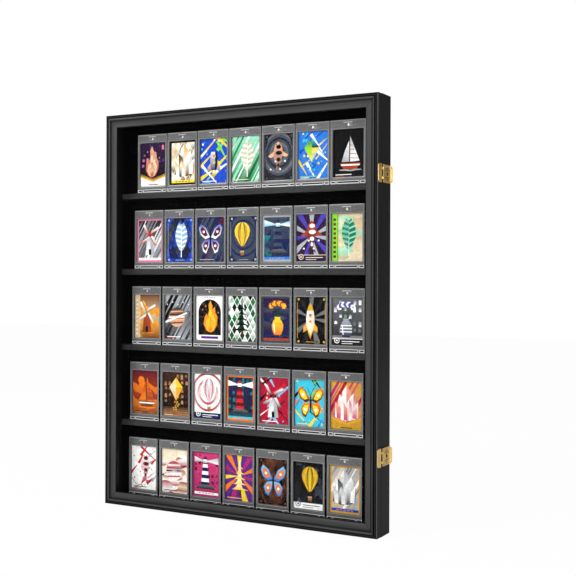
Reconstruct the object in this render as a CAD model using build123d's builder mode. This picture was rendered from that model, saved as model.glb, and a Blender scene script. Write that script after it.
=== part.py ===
"""Wall display case for trading cards: a shallow wooden box with four shelves, a mitred door
frame with a clear panel on two butt hinges, two hasp latches, and thirty-five card holders
standing in grooves in five rows of seven.

Frame: X to the right, Y towards the wall, Z up, in millimetres. The origin is the centre of
the back, which lies against the wall at y = 0, so the front of the case faces -Y.
"""

import os

from build123d import *

# ---------------------------------------------------------------- driving dimensions
# Card holders: two clear halves round a standard card, held together by a magnet
tiers = 5
holders_per_tier = 7
card_width = 63.5
card_height = 88.9
card_thickness = 0.5
card_play = 0.3
card_pocket_play = 0.1
holder_rim = 4.55
holder_half_thickness = 3.5
holder_corner = 2.0
card_foot = 16.0
window_margin = 1.2
window_recess = 0.5
magnet_radius = 2.5
magnet_thickness = 1.9
keeper_thickness = 0.9
magnet_play = 0.05
magnet_over_card = 8.1
magnet_drop = 9.0
foot_window_height = 3.6
foot_window_rise = 4.4
foot_window_depth = 0.5
foot_window_short = 8.6
foot_window_margin = 1.8
foot_window_gap = 3.9

# Rows, from the top one down. The holders stand free, so no two rows are spaced quite alike.
row_gaps = (1.1, 2.0, 3.1, 3.5, 3.6)
row_shifts = (6.0, 1.2, -1.0, -4.5, -6.8)

# Box
board = 15.0
box_depth = 41.4
row_end_margin = 24.1
headroom = 24.4
edge_round = 0.8
rebate_width = 4.0
back_thickness = 3.0
felt_thickness = 1.0
fit_clearance = 0.25
dowel_radius = 4.0
dowel_in_side = 9.0
dowel_in_cross = 20.0
dowel_clearance = 0.05
dowel_spacing = 20.0

# Shelves
shelf_thickness = 12.0
shelf_round = 1.2
shelf_lip = 2.5
shelf_rear_space = 9.5
groove_depth = 2.0
groove_play = 0.2
dado_depth = 4.0
shelf_clearance = 0.1
rest_clearance = 0.05

# Door
seam = 0.6
door_thickness = 18.0
door_floor_gap = 0.6
moulding_width = 26.0
glazing_rebate = 9.0
glazing_ledge = 9.0
window_thickness = 2.5
window_clearance = 0.8
strip_width = 7.0
strip_inset = 0.5
strip_chamfer = 1.5
key_leg = 14.0
key_thickness = 2.0
key_height = 3.0
key_clearance = 0.1
mitre_angle = 45.0

# Moulding profile, from the outer edge inwards, with drops below the front face
rim_round = 1.6
rim_drop = 0.8
quirk_drop = 2.2
bead_start = 2.6
bead_end = 4.8
bead_foot_drop = 1.2
bead_crown_drop = 0.5
groove_drop = 3.4
roll_start = 6.3
roll_end = 10.2
roll_foot_drop = 1.2
trough_start = 10.8
trough_end = 13.0
trough_drop = 3.6
band_start = 13.8
band_start_drop = 2.4
band_end = 24.8
band_end_drop = 4.4
band_crown = 0.6
lip_drop = 5.6

# Hinges
hinge_inset = 144.0
hinge_length = 50.0
leaf_width = 13.0
leaf_thickness = 1.2
leaf_gap = 0.2
knuckle_radius = 2.6
knuckle_count = 3
knuckle_gap = 0.2
knuckle_stand_off = 0.2
hinge_pin_radius = 1.25
pin_clearance = 0.03
pin_head_radius = 2.1
pin_head_height = 1.0
mortise_clearance = 0.1
hinge_screw_spacing = 30.0

# Latches, measured on the side face: back from the seam (u), up (v) and outwards (w)
latch_inset = 144.0
latch_plate_height = 34.0
latch_plate_thickness = 1.0
latch_plate_margin = 1.6
latch_plate_corner = 3.0
latch_screw_v = 12.0
latch_knuckle_radius = 2.0
latch_pin_radius = 0.8
latch_axis_w = 2.3
latch_gap = 0.3
plate_knuckle_start = 6.2
latch_knuckle_length = 2.4
latch_knuckle_gap = 0.2
latch_pin_overhang = 0.4
tongue_thickness = 1.0
tongue_length = 39.5
tongue_height = 33.0
tongue_corner = 7.0
tongue_lip = 6.5
tongue_lip_rise = 3.6
tongue_hole_radius = 3.2
catch_width = 19.0
catch_height = 25.0
catch_corner = 2.5
catch_u = 21.5
catch_screw_v = 8.6
nib_radius = 2.5
nib_height = 2.4

# Screws, one countersunk size
screw_head_radius = 2.3
screw_radius = 1.25
screw_length = 9.0
screw_clearance = 0.05
driver_slot_width = 0.6
driver_slot_depth = 0.6

# Keyhole hanger straps, let into the back edges of the side boards
hanger_drop = 70.0
hanger_width = 9.6
hanger_length = 46.0
hanger_thickness = 1.4
hanger_inset = 0.2
hanger_corner = 2.0
hanger_head_radius = 3.6
hanger_neck_width = 3.8
hanger_neck_length = 9.0
hanger_screw_offset = 18.0
hanger_pocket_depth = 7.0
hanger_pocket_margin = 0.6

# ---------------------------------------------------------------- derived places
magnet_up = card_foot + card_height + magnet_over_card
holder_height = magnet_up + magnet_drop
holder_width = card_width + 2 * holder_rim
row_width = holders_per_tier * holder_width + (holders_per_tier - 1) * max(row_gaps)
inner_width = row_width + 2 * row_end_margin
tier_clear = holder_height - groove_depth + headroom
tier_pitch = tier_clear + shelf_thickness
inner_height = tiers * tier_clear + (tiers - 1) * shelf_thickness
case_width = inner_width + 2 * board
case_height = inner_height + 2 * board
side_x = case_width / 2
top_z = case_height / 2
inner_x = inner_width / 2
inner_z = inner_height / 2
tier_floors = [-inner_z + row * tier_pitch for row in range(tiers)]

rebate_depth = back_thickness
felt_face = -rebate_depth - felt_thickness
holder_thickness = 2 * holder_half_thickness
groove_width = holder_thickness + 2 * groove_play
shelf_depth = shelf_rear_space + groove_width + shelf_lip
shelf_back = felt_face - shelf_clearance
shelf_front = shelf_back - shelf_depth
groove_middle = shelf_front + shelf_lip + groove_width / 2

seam_middle = -box_depth - seam / 2
door_back = -box_depth - seam
door_top_z = top_z - door_floor_gap
sight_x = side_x - moulding_width
sight_z = door_top_z - moulding_width

hinge_x = -side_x - knuckle_radius - knuckle_stand_off
leaf_start = hinge_x + knuckle_radius + knuckle_stand_off + knuckle_gap
mortise_depth = leaf_gap / 2 + leaf_thickness - seam / 2
screw_head_height = screw_head_radius - screw_radius
hanger_x = side_x - (board - rebate_width) / 2
hanger_z = top_z - hanger_drop

# The two hinges, and the two latches, sit at the same distance from either end
LEVELS = {"upper": 1, "lower": -1}
hinge_levels = {name: side * (top_z - hinge_inset) for name, side in LEVELS.items()}
latch_levels = {name: side * (top_z - latch_inset) for name, side in LEVELS.items()}

os.makedirs("parts", exist_ok=True)


def save(piece, name):
    """Labels a finished piece and writes it as its own STEP file."""
    piece.label = name
    export_step(piece, f"parts/{name}.step")


def facing(origin, outward):
    """The location of a plane at origin whose Z axis points outward."""
    return Plane(origin=origin, z_dir=outward).location


# ---------------------------------------------------------------- screws
with BuildPart() as screw:
    # The head's face is at z = 0 and the shank points down.
    with BuildSketch(Plane.XZ):
        with BuildLine():
            Polyline(
                (0, 0),
                (screw_head_radius, 0),
                (screw_radius, -screw_head_height),
                (screw_radius, -screw_length + screw_radius),
                (0, -screw_length),
                close=True,
            )
        make_face()
    revolve(axis=Axis.Z)
    for turn in (0, 90):
        with Locations(Location((0, 0, 0), (0, 0, turn))):
            Box(2 * screw_radius, driver_slot_width, 2 * driver_slot_depth, mode=Mode.SUBTRACT)


def save_screws(places, name):
    """One node of screws, each with its head's face on a place and its shank along its -Z."""
    with BuildPart() as group:
        with Locations(*places):
            add(screw.part)
    save(group.part, name)


def pilot_holes(places):
    """Blind holes in wood for screws, cut into the part being built."""
    with Locations(*places):
        Cylinder(
            screw_radius + screw_clearance,
            screw_length + fit_clearance,
            align=(Align.CENTER, Align.CENTER, Align.MAX),
            mode=Mode.SUBTRACT,
        )


def sunk_holes(places, thickness):
    """Countersunk holes through a metal plate, cut into the part being built."""
    with Locations(*places):
        Cylinder(screw_radius + screw_clearance, 3 * thickness, mode=Mode.SUBTRACT)
        Cone(
            screw_radius + screw_clearance,
            screw_head_radius + screw_clearance,
            screw_head_height,
            align=(Align.CENTER, Align.CENTER, Align.MAX),
            mode=Mode.SUBTRACT,
        )


def hinge_screw_places(level, front):
    """Screw heads on one hinge leaf: the door's leaf if front, otherwise the case's leaf."""
    across = leaf_start + leaf_width / 2
    step = -leaf_gap / 2 if front else leaf_gap / 2
    outward = (0, 1, 0) if front else (0, -1, 0)
    return [
        facing((across, seam_middle + step, level + side * hinge_screw_spacing / 2), outward)
        for side in (-1, 1)
    ]


def latch_screw_places(level, u, v):
    """Screw heads above and below the middle of a latch plate, u behind the seam."""
    x = side_x + latch_plate_thickness
    return [facing((x, seam_middle + u, level + side * v), (1, 0, 0)) for side in (-1, 1)]


plate_front = -(seam / 2 + door_thickness) + latch_plate_margin
plate_back = -latch_knuckle_radius - latch_gap
plate_screw_u = (plate_front + plate_back) / 2
hanger_screw_places = [
    facing((side * hanger_x, -hanger_inset, hanger_z + z), (0, 1, 0))
    for side in (-1, 1)
    for z in (-hanger_screw_offset, hanger_screw_offset)
]
case_hinge_places = []
door_hinge_places = []
for level in hinge_levels.values():
    case_hinge_places += hinge_screw_places(level, False)
    door_hinge_places += hinge_screw_places(level, True)
plate_screw_places = []
catch_screw_places = []
for level in latch_levels.values():
    plate_screw_places += latch_screw_places(level, plate_screw_u, latch_screw_v)
    catch_screw_places += latch_screw_places(level, catch_u, catch_screw_v)

save_screws(hanger_screw_places, "hanger_screws")
save_screws(case_hinge_places, "hinge_screws_in_case")
save_screws(door_hinge_places, "hinge_screws_in_door")
save_screws(plate_screw_places, "latch_screws_in_door")
save_screws(catch_screw_places, "latch_screws_in_case")

# ---------------------------------------------------------------- corner dowels
dowel_z = top_z - board / 2
dowel_places = [
    facing((across * inner_x, -box_depth / 2 + step, up * dowel_z), (-across, 0, 0))
    for across in (-1, 1)
    for up in (-1, 1)
    for step in (-dowel_spacing / 2, dowel_spacing / 2)
]


def dowel_shape(clearance, mode):
    """The dowels, or with some clearance their holes, in the part being built."""
    with Locations(*dowel_places):
        for length, side in ((dowel_in_cross, Align.MIN), (dowel_in_side, Align.MAX)):
            Cylinder(
                dowel_radius + clearance,
                length + clearance,
                align=(Align.CENTER, Align.CENTER, side),
                mode=mode,
            )


with BuildPart() as corner_dowels:
    dowel_shape(0, Mode.ADD)
save(corner_dowels.part, "corner_dowels")


def hinge_mortises(face_y):
    """Shallow housings for the hinge leaves in the left edge at face_y."""
    across = leaf_start + leaf_width + side_x + mortise_clearance
    for level in hinge_levels.values():
        with Locations((-side_x, face_y, level)):
            Box(
                2 * across,
                2 * mortise_depth,
                hinge_length + 2 * mortise_clearance,
                mode=Mode.SUBTRACT,
            )


# ---------------------------------------------------------------- box
for name, side in (("left", -1), ("right", 1)):
    with BuildPart() as side_board:
        with Locations((side * side_x, 0, 0)):
            Box(
                board,
                box_depth,
                case_height,
                align=(Align.MAX if side > 0 else Align.MIN, Align.MAX, Align.CENTER),
            )
        outer_edges = side_board.edges().filter_by(Axis.Z).group_by(Axis.X)
        fillet(outer_edges[-1 if side > 0 else 0], edge_round)
        # Rebate for the back panel
        with Locations((side * inner_x, 0, 0)):
            Box(
                2 * rebate_width,
                2 * rebate_depth,
                inner_height + 2 * rebate_width,
                mode=Mode.SUBTRACT,
            )
        # Dadoes that carry the shelf ends
        for floor in tier_floors[1:]:
            with Locations((side * inner_x, 0, floor - shelf_thickness / 2)):
                Box(
                    2 * dado_depth,
                    -2 * (shelf_front - shelf_clearance),
                    shelf_thickness + 2 * shelf_clearance,
                    mode=Mode.SUBTRACT,
                )
        # Pocket for the hanger strap, and room behind its keyhole for a wall screw's head
        strap_plane = Plane(
            origin=(side * hanger_x, 0, hanger_z), x_dir=(1, 0, 0), z_dir=(0, -1, 0)
        )
        with BuildSketch(strap_plane):
            RectangleRounded(
                hanger_width + mortise_clearance,
                hanger_length + mortise_clearance,
                hanger_corner,
            )
        extrude(amount=hanger_thickness + hanger_inset, mode=Mode.SUBTRACT)
        with BuildSketch(strap_plane):
            SlotCenterToCenter(
                hanger_neck_length,
                2 * (hanger_head_radius + hanger_pocket_margin),
                rotation=90,
            )
        extrude(amount=hanger_pocket_depth, mode=Mode.SUBTRACT)
        pilot_holes([p for p in hanger_screw_places if p.position.X * side > 0])
        dowel_shape(dowel_clearance, Mode.SUBTRACT)
        if side < 0:
            hinge_mortises(-box_depth)
            pilot_holes(case_hinge_places)
        else:
            pilot_holes(catch_screw_places)
    save(side_board.part, f"side_board_{name}")

for name, side in (("top", 1), ("bottom", -1)):
    with BuildPart() as cross_board:
        with Locations((0, 0, side * top_z)):
            Box(
                inner_width,
                box_depth,
                board,
                align=(Align.CENTER, Align.MAX, Align.MAX if side > 0 else Align.MIN),
            )
        outer_edges = cross_board.edges().filter_by(Axis.X).group_by(Axis.Z)
        fillet(outer_edges[-1 if side > 0 else 0], edge_round)
        with Locations((0, 0, side * inner_z)):
            Box(inner_width, 2 * rebate_depth, 2 * rebate_width, mode=Mode.SUBTRACT)
        dowel_shape(dowel_clearance, Mode.SUBTRACT)
        if side < 0:
            # Groove in which the lowest row of holders stands
            with Locations((0, groove_middle, -inner_z)):
                Box(inner_width, groove_width, 2 * groove_depth, mode=Mode.SUBTRACT)
    save(cross_board.part, f"{name}_board")

with BuildPart() as back_panel:
    with Locations((0, -rebate_depth, 0)):
        Box(
            inner_width + 2 * (rebate_width - fit_clearance),
            back_thickness,
            inner_height + 2 * (rebate_width - fit_clearance),
            align=(Align.CENTER, Align.MIN, Align.CENTER),
        )
save(back_panel.part, "back_panel")

with BuildPart() as felt_lining:
    with Locations((0, -rebate_depth, 0)):
        Box(
            inner_width - 2 * fit_clearance,
            felt_thickness,
            inner_height - 2 * fit_clearance,
            align=(Align.CENTER, Align.MAX, Align.CENTER),
        )
save(felt_lining.part, "felt_lining")

for number, floor in enumerate(reversed(tier_floors[1:]), start=1):
    with BuildPart() as shelf:
        with Locations((0, shelf_back, floor)):
            Box(
                inner_width + 2 * (dado_depth - shelf_clearance),
                shelf_depth,
                shelf_thickness,
                align=(Align.CENTER, Align.MAX, Align.MAX),
            )
        front_face = shelf.faces().sort_by(Axis.Y)[0]
        fillet(front_face.edges().filter_by(Axis.X), shelf_round)
        with Locations((0, groove_middle, floor)):
            Box(case_width, groove_width, 2 * groove_depth, mode=Mode.SUBTRACT)
    save(shelf.part, f"shelf_{number}")

for name, side in (("left", -1), ("right", 1)):
    strap_back = Plane(
        origin=(side * hanger_x, -hanger_inset, hanger_z), x_dir=(1, 0, 0), z_dir=(0, -1, 0)
    )
    with BuildPart() as hanger:
        with BuildSketch(strap_back):
            RectangleRounded(hanger_width, hanger_length, hanger_corner)
            with Locations((0, -hanger_neck_length / 2)):
                Circle(hanger_head_radius, mode=Mode.SUBTRACT)
            SlotCenterToCenter(
                hanger_neck_length, hanger_neck_width, rotation=90, mode=Mode.SUBTRACT
            )
        extrude(amount=hanger_thickness)
        sunk_holes([p for p in hanger_screw_places if p.position.X * side > 0], hanger_thickness)
    save(hanger.part, f"hanger_strap_{name}")

# ---------------------------------------------------------------- door
rim_level = door_thickness - rim_drop
quirk_level = door_thickness - quirk_drop
bead_foot = door_thickness - bead_foot_drop
bead_crown = door_thickness - bead_crown_drop
groove_level = door_thickness - groove_drop
roll_foot = door_thickness - roll_foot_drop
trough_level = door_thickness - trough_drop
band_high = door_thickness - band_start_drop
band_low = door_thickness - band_end_drop
lip_level = door_thickness - lip_drop


def mitred_length(plane, corners):
    """One length of the door's moulding: its profile drawn on plane, run both ways and cut to
    the four corners of its outline in the front view."""
    with BuildPart() as length:
        with BuildSketch(plane):
            with BuildLine():
                Line((0, 0), (0, rim_level - rim_round))
                RadiusArc((0, rim_level - rim_round), (rim_round, rim_level), rim_round)
                Polyline(
                    (rim_round, rim_level),
                    (rim_round, quirk_level),
                    (bead_start, quirk_level),
                    (bead_start, bead_foot),
                )
                bead_middle = ((bead_start + bead_end) / 2, bead_crown)
                ThreePointArc((bead_start, bead_foot), bead_middle, (bead_end, bead_foot))
                Polyline(
                    (bead_end, bead_foot),
                    (bead_end, groove_level),
                    (roll_start, groove_level),
                    (roll_start, roll_foot),
                )
                roll_middle = ((roll_start + roll_end) / 2, door_thickness)
                ThreePointArc((roll_start, roll_foot), roll_middle, (roll_end, roll_foot))
                Polyline(
                    (roll_end, roll_foot),
                    (trough_start, trough_level),
                    (trough_end, trough_level),
                    (band_start, band_high),
                )
                band_middle = ((band_start + band_end) / 2, (band_high + band_low) / 2 + band_crown)
                ThreePointArc((band_start, band_high), band_middle, (band_end, band_low))
                Polyline(
                    (band_end, band_low),
                    (band_end, lip_level),
                    (moulding_width, lip_level),
                    (moulding_width, glazing_ledge),
                    (moulding_width - glazing_rebate, glazing_ledge),
                    (moulding_width - glazing_rebate, 0),
                    (0, 0),
                )
            make_face()
        extrude(amount=case_height, both=True)
        with BuildSketch(Plane.XZ.offset(box_depth)):
            Polygon(*corners, align=None)
        extrude(amount=door_thickness + 2 * seam, mode=Mode.INTERSECT)
    return length.part


def mitre_keys_shape(clearance, mode):
    """The flat keys let into the back of the mitres, or with clearance their slots, midway
    between the door's outer edges and its glazing rebate."""
    key_x = side_x - (moulding_width - glazing_rebate) / 2
    key_z = door_top_z - (moulding_width - glazing_rebate) / 2
    for across in (-1, 1):
        for up in (-1, 1):
            middle = (across * key_x, door_back, up * key_z)
            with Locations(Location(middle, (0, across * up * mitre_angle, 0))):
                Box(
                    key_leg + 2 * clearance,
                    key_height + clearance,
                    key_thickness + 2 * clearance,
                    align=(Align.CENTER, Align.MAX, Align.CENTER),
                    mode=mode,
                )


with BuildPart() as mitre_keys:
    mitre_keys_shape(0, Mode.ADD)
save(mitre_keys.part, "mitre_keys")

for name, side in (("left", -1), ("right", 1)):
    stile_plane = Plane(
        origin=(side * side_x, door_back, 0), x_dir=(-side, 0, 0), z_dir=(0, 0, side)
    )
    stile_corners = [
        (side * side_x, door_top_z),
        (side * sight_x, sight_z),
        (side * sight_x, -sight_z),
        (side * side_x, -door_top_z),
    ]
    stile_blank = mitred_length(stile_plane, stile_corners)
    with BuildPart() as stile:
        add(stile_blank)
        mitre_keys_shape(key_clearance, Mode.SUBTRACT)
        if side < 0:
            hinge_mortises(door_back)
            pilot_holes(door_hinge_places)
        else:
            pilot_holes(plate_screw_places)
    save(stile.part, f"door_stile_{name}")

for name, side in (("top", 1), ("bottom", -1)):
    rail_plane = Plane(
        origin=(0, door_back, side * door_top_z), x_dir=(0, 0, -side), z_dir=(-side, 0, 0)
    )
    rail_corners = [
        (-side_x, side * door_top_z),
        (-sight_x, side * sight_z),
        (sight_x, side * sight_z),
        (side_x, side * door_top_z),
    ]
    rail_blank = mitred_length(rail_plane, rail_corners)
    with BuildPart() as rail:
        add(rail_blank)
        mitre_keys_shape(key_clearance, Mode.SUBTRACT)
    save(rail.part, f"door_rail_{name}")

# Clear panel against the ledge of the rebate, held by four strips behind it
glazed_x = sight_x + glazing_rebate
glazed_z = sight_z + glazing_rebate
window_back = door_back - glazing_ledge + window_thickness

with BuildPart() as window_panel:
    with Locations((0, window_back, 0)):
        Box(
            2 * (glazed_x - window_clearance),
            window_thickness,
            2 * (glazed_z - window_clearance),
            align=(Align.CENTER, Align.MAX, Align.CENTER),
        )
save(window_panel.part, "window_panel")

strip_depth = glazing_ledge - window_thickness - strip_inset
for name, across, up in (("left", -1, 0), ("right", 1, 0), ("top", 0, 1), ("bottom", 0, -1)):
    # The upright strips run the whole height and the level ones fit between them.
    reach_x = glazed_x - fit_clearance
    reach_z = glazed_z - fit_clearance
    with BuildPart() as strip:
        if across:
            with Locations((across * reach_x, window_back, 0)):
                Box(
                    strip_width,
                    strip_depth,
                    2 * reach_z,
                    align=(Align.MAX if across > 0 else Align.MIN, Align.MIN, Align.CENTER),
                )
            inner_edges = strip.edges().filter_by(Axis.Z).sort_by(Axis.Y)[-2:]
            chamfer(inner_edges.sort_by(Axis.X)[0 if across > 0 else -1], strip_chamfer)
        else:
            with Locations((0, window_back, up * reach_z)):
                Box(
                    2 * (reach_x - strip_width - fit_clearance),
                    strip_depth,
                    strip_width,
                    align=(Align.CENTER, Align.MIN, Align.MAX if up > 0 else Align.MIN),
                )
            inner_edges = strip.edges().filter_by(Axis.X).sort_by(Axis.Y)[-2:]
            chamfer(inner_edges.sort_by(Axis.Z)[0 if up > 0 else -1], strip_chamfer)
    save(strip.part, f"glazing_strip_{name}")

# ---------------------------------------------------------------- hinges
knuckle_pitch = hinge_length / knuckle_count
for place, level in hinge_levels.items():
    foot = level - hinge_length / 2
    first_knuckle = foot + knuckle_gap / 2
    for owner, behind in (("case", 1), ("door", -1)):
        with BuildPart() as leaf:
            leaf_middle = seam_middle + behind * (leaf_gap + leaf_thickness) / 2
            with BuildSketch(Plane.XY.offset(foot)):
                with Locations((leaf_start, leaf_middle)):
                    Rectangle(leaf_width, leaf_thickness, align=(Align.MIN, Align.CENTER))
            extrude(amount=hinge_length)
            for index in range(knuckle_count):
                if (index % 2 == 0) == (owner == "case"):
                    with BuildSketch(Plane.XY.offset(first_knuckle + index * knuckle_pitch)):
                        with Locations((hinge_x, seam_middle)):
                            Circle(knuckle_radius)
                        with Locations((hinge_x, leaf_middle)):
                            Rectangle(
                                leaf_start - hinge_x + leaf_thickness,
                                leaf_thickness,
                                align=(Align.MIN, Align.CENTER),
                            )
                    extrude(amount=knuckle_pitch - knuckle_gap)
            with Locations((hinge_x, seam_middle, level)):
                Cylinder(
                    hinge_pin_radius + pin_clearance, 2 * hinge_length, mode=Mode.SUBTRACT
                )
            sunk_holes(hinge_screw_places(level, owner == "door"), leaf_thickness)
        save(leaf.part, f"hinge_{place}_{owner}_leaf")
    with BuildPart() as hinge_pin:
        with Locations((hinge_x, seam_middle, level)):
            Cylinder(hinge_pin_radius, hinge_length)
            for end in (-1, 1):
                with Locations((0, 0, end * (hinge_length + pin_head_height) / 2)):
                    Cylinder(pin_head_radius, pin_head_height)
        rims = hinge_pin.edges().filter_by(GeomType.CIRCLE).sort_by(Axis.Z)
        fillet([rims[0], rims[-1]], pin_head_height / 2)
    save(hinge_pin.part, f"hinge_{place}_pin")

# ---------------------------------------------------------------- latches
axis_x = side_x + latch_axis_w
tongue_inner = latch_plate_thickness + latch_gap
tongue_outer = tongue_inner + tongue_thickness
tongue_start = latch_knuckle_radius + latch_gap
tongue_knuckle_start = plate_knuckle_start + latch_knuckle_length + latch_knuckle_gap
latch_pin_start = plate_knuckle_start - latch_pin_overhang
latch_pin_length = 2 * latch_knuckle_length + latch_knuckle_gap + 2 * latch_pin_overhang


def knuckles(level, start, strap_from, strap_to, strap_low, strap_high):
    """Two knuckles of a latch leaf, above and below its middle, each with the strap that
    joins it to its leaf. The strap's lengths are along u and its levels along w."""
    for side in (-1, 1):
        middle = level + side * (start + latch_knuckle_length / 2)
        with BuildSketch(Plane.XY.offset(middle - latch_knuckle_length / 2)) as outline:
            with Locations((axis_x, seam_middle)):
                Circle(latch_knuckle_radius)
            with Locations((side_x + strap_low, seam_middle + strap_from)):
                Rectangle(
                    strap_high - strap_low, strap_to - strap_from, align=(Align.MIN, Align.MIN)
                )
        extrude(outline.sketch, amount=latch_knuckle_length)
    with Locations((axis_x, seam_middle, level)):
        Cylinder(latch_pin_radius + pin_clearance, latch_plate_height, mode=Mode.SUBTRACT)


for place, level in latch_levels.items():
    side_plane = Plane(origin=(side_x, seam_middle, level), x_dir=(0, 1, 0), z_dir=(1, 0, 0))

    with BuildPart() as latch_plate:
        with BuildSketch(side_plane):
            with Locations((plate_screw_u, 0)):
                Rectangle(plate_back - plate_front, latch_plate_height)
            front_corners = vertices().group_by(Axis.X)[0]
            fillet(front_corners, latch_plate_corner)
        extrude(amount=latch_plate_thickness)
        knuckles(level, plate_knuckle_start, plate_back - latch_gap, 0, 0, latch_plate_thickness)
        sunk_holes(latch_screw_places(level, plate_screw_u, latch_screw_v), latch_plate_thickness)
    save(latch_plate.part, f"latch_{place}_plate")

    with BuildPart() as tongue:
        # The leaf seen from above, with its finger lip turned outwards
        with BuildSketch(Plane.XY.offset(level - tongue_height / 2)):
            lip_start = seam_middle + tongue_length - tongue_lip
            lip_end = seam_middle + tongue_length
            Polygon(
                (side_x + tongue_inner, seam_middle + tongue_start),
                (side_x + tongue_outer, seam_middle + tongue_start),
                (side_x + tongue_outer, lip_start),
                (side_x + tongue_outer + tongue_lip_rise, lip_end),
                (side_x + tongue_inner + tongue_lip_rise, lip_end),
                (side_x + tongue_inner, lip_start),
                align=None,
            )
        extrude(amount=tongue_height)
        with BuildSketch(side_plane):
            with Locations((tongue_start, 0)):
                Rectangle(
                    tongue_length - tongue_start,
                    tongue_height,
                    align=(Align.MIN, Align.CENTER),
                )
            free_corners = vertices().group_by(Axis.X)[-1]
            fillet(free_corners, tongue_corner)
        extrude(amount=tongue_outer + 2 * tongue_lip_rise, mode=Mode.INTERSECT)
        knuckles(
            level, tongue_knuckle_start, 0, tongue_start + latch_gap, tongue_inner, tongue_outer
        )
        with BuildSketch(side_plane):
            with Locations((catch_u, 0)):
                Circle(tongue_hole_radius)
        extrude(amount=tongue_outer + tongue_lip_rise, mode=Mode.SUBTRACT)
    save(tongue.part, f"latch_{place}_tongue")

    with BuildPart() as latch_pins:
        for side in (-1, 1):
            middle = level + side * (latch_pin_start + latch_pin_length / 2)
            with Locations((axis_x, seam_middle, middle)):
                Cylinder(latch_pin_radius, latch_pin_length)
    save(latch_pins.part, f"latch_{place}_pins")

    with BuildPart() as catch:
        with BuildSketch(side_plane):
            with Locations((catch_u, 0)):
                RectangleRounded(catch_width, catch_height, catch_corner)
        extrude(amount=latch_plate_thickness)
        with BuildSketch(side_plane):
            with Locations((catch_u, 0)):
                Circle(nib_radius)
        extrude(amount=latch_plate_thickness + nib_height)
        nib_rim = catch.edges().filter_by(GeomType.CIRCLE).sort_by(Axis.X)[-1]
        fillet(nib_rim, nib_radius / 2)
        sunk_holes(latch_screw_places(level, catch_u, catch_screw_v), latch_plate_thickness)
    save(catch.part, f"latch_{place}_catch")

# ---------------------------------------------------------------- card holders
holder_front = groove_middle - holder_thickness / 2
holder_parting = groove_middle
card_middle_up = card_foot + card_height / 2
foot_window_up = foot_window_rise + foot_window_height / 2
short_window_end = holder_width / 2 - foot_window_margin - foot_window_short
short_window_across = short_window_end + foot_window_short / 2

rows = list(zip(reversed(tier_floors), row_gaps, row_shifts))


def row_plane(floor, y):
    """The front-view plane of a row at depth y, with its normal towards the wall."""
    foot = floor - groove_depth + rest_clearance
    return Plane(origin=(0, y, foot), x_dir=(-1, 0, 0), z_dir=(0, 1, 0))


def along_row(gap, shift, up, across=0):
    """The seven places in a row at one height above its foot, moved sideways by across."""
    pitch = holder_width + gap
    first = shift - pitch * (holders_per_tier - 1) / 2
    return Locations(*[(across - first - index * pitch, up) for index in range(holders_per_tier)])


for row, (floor, gap, shift) in enumerate(rows, start=1):
    with BuildPart() as holder_backs:
        with BuildSketch(row_plane(floor, holder_parting)):
            with along_row(gap, shift, holder_height / 2):
                RectangleRounded(holder_width, holder_height, holder_corner)
        extrude(amount=holder_half_thickness)
        with BuildSketch(row_plane(floor, holder_parting)):
            with along_row(gap, shift, card_middle_up):
                Rectangle(card_width + 2 * card_play, card_height + 2 * card_play)
        extrude(amount=card_thickness + card_pocket_play, mode=Mode.SUBTRACT)
        with BuildSketch(row_plane(floor, holder_parting)):
            with along_row(gap, shift, magnet_up):
                Circle(magnet_radius + magnet_play)
        extrude(amount=magnet_thickness + magnet_play, mode=Mode.SUBTRACT)
    save(holder_backs.part, f"holder_backs_row_{row}")

    with BuildPart() as holder_fronts:
        with BuildSketch(row_plane(floor, holder_front)):
            with along_row(gap, shift, holder_height / 2):
                RectangleRounded(holder_width, holder_height, holder_corner)
        extrude(amount=holder_half_thickness)
        # Sunk window over the card, and the three sunk panels at the foot
        with BuildSketch(row_plane(floor, holder_front)):
            with along_row(gap, shift, card_middle_up):
                Rectangle(card_width + 2 * window_margin, card_height + 2 * window_margin)
        extrude(amount=window_recess, mode=Mode.SUBTRACT)
        with BuildSketch(row_plane(floor, holder_front)):
            with along_row(gap, shift, foot_window_up):
                Rectangle(2 * (short_window_end - foot_window_gap), foot_window_height)
            for side in (-1, 1):
                with along_row(gap, shift, foot_window_up, side * short_window_across):
                    Rectangle(foot_window_short, foot_window_height)
        extrude(amount=foot_window_depth, mode=Mode.SUBTRACT)
        keeper_bore = keeper_thickness + magnet_play
        with BuildSketch(row_plane(floor, holder_parting - keeper_bore)):
            with along_row(gap, shift, magnet_up):
                Circle(magnet_radius + magnet_play)
        extrude(amount=keeper_bore, mode=Mode.SUBTRACT)
    save(holder_fronts.part, f"holder_fronts_row_{row}")

    with BuildPart() as cards:
        with BuildSketch(row_plane(floor, holder_parting)):
            with along_row(gap, shift, card_middle_up):
                Rectangle(card_width, card_height)
        extrude(amount=card_thickness)
    save(cards.part, f"cards_row_{row}")

with BuildPart() as magnets:
    for floor, gap, shift in rows:
        with BuildSketch(row_plane(floor, holder_parting)):
            with along_row(gap, shift, magnet_up):
                Circle(magnet_radius)
        extrude(amount=magnet_thickness)
save(magnets.part, "holder_magnets")

with BuildPart() as keepers:
    for floor, gap, shift in rows:
        with BuildSketch(row_plane(floor, holder_parting - keeper_thickness)):
            with along_row(gap, shift, magnet_up):
                Circle(magnet_radius)
        extrude(amount=keeper_thickness)
save(keepers.part, "holder_keepers")
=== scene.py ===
import math
import random

import bmesh
import bpy
from mathutils import Matrix, Vector

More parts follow.
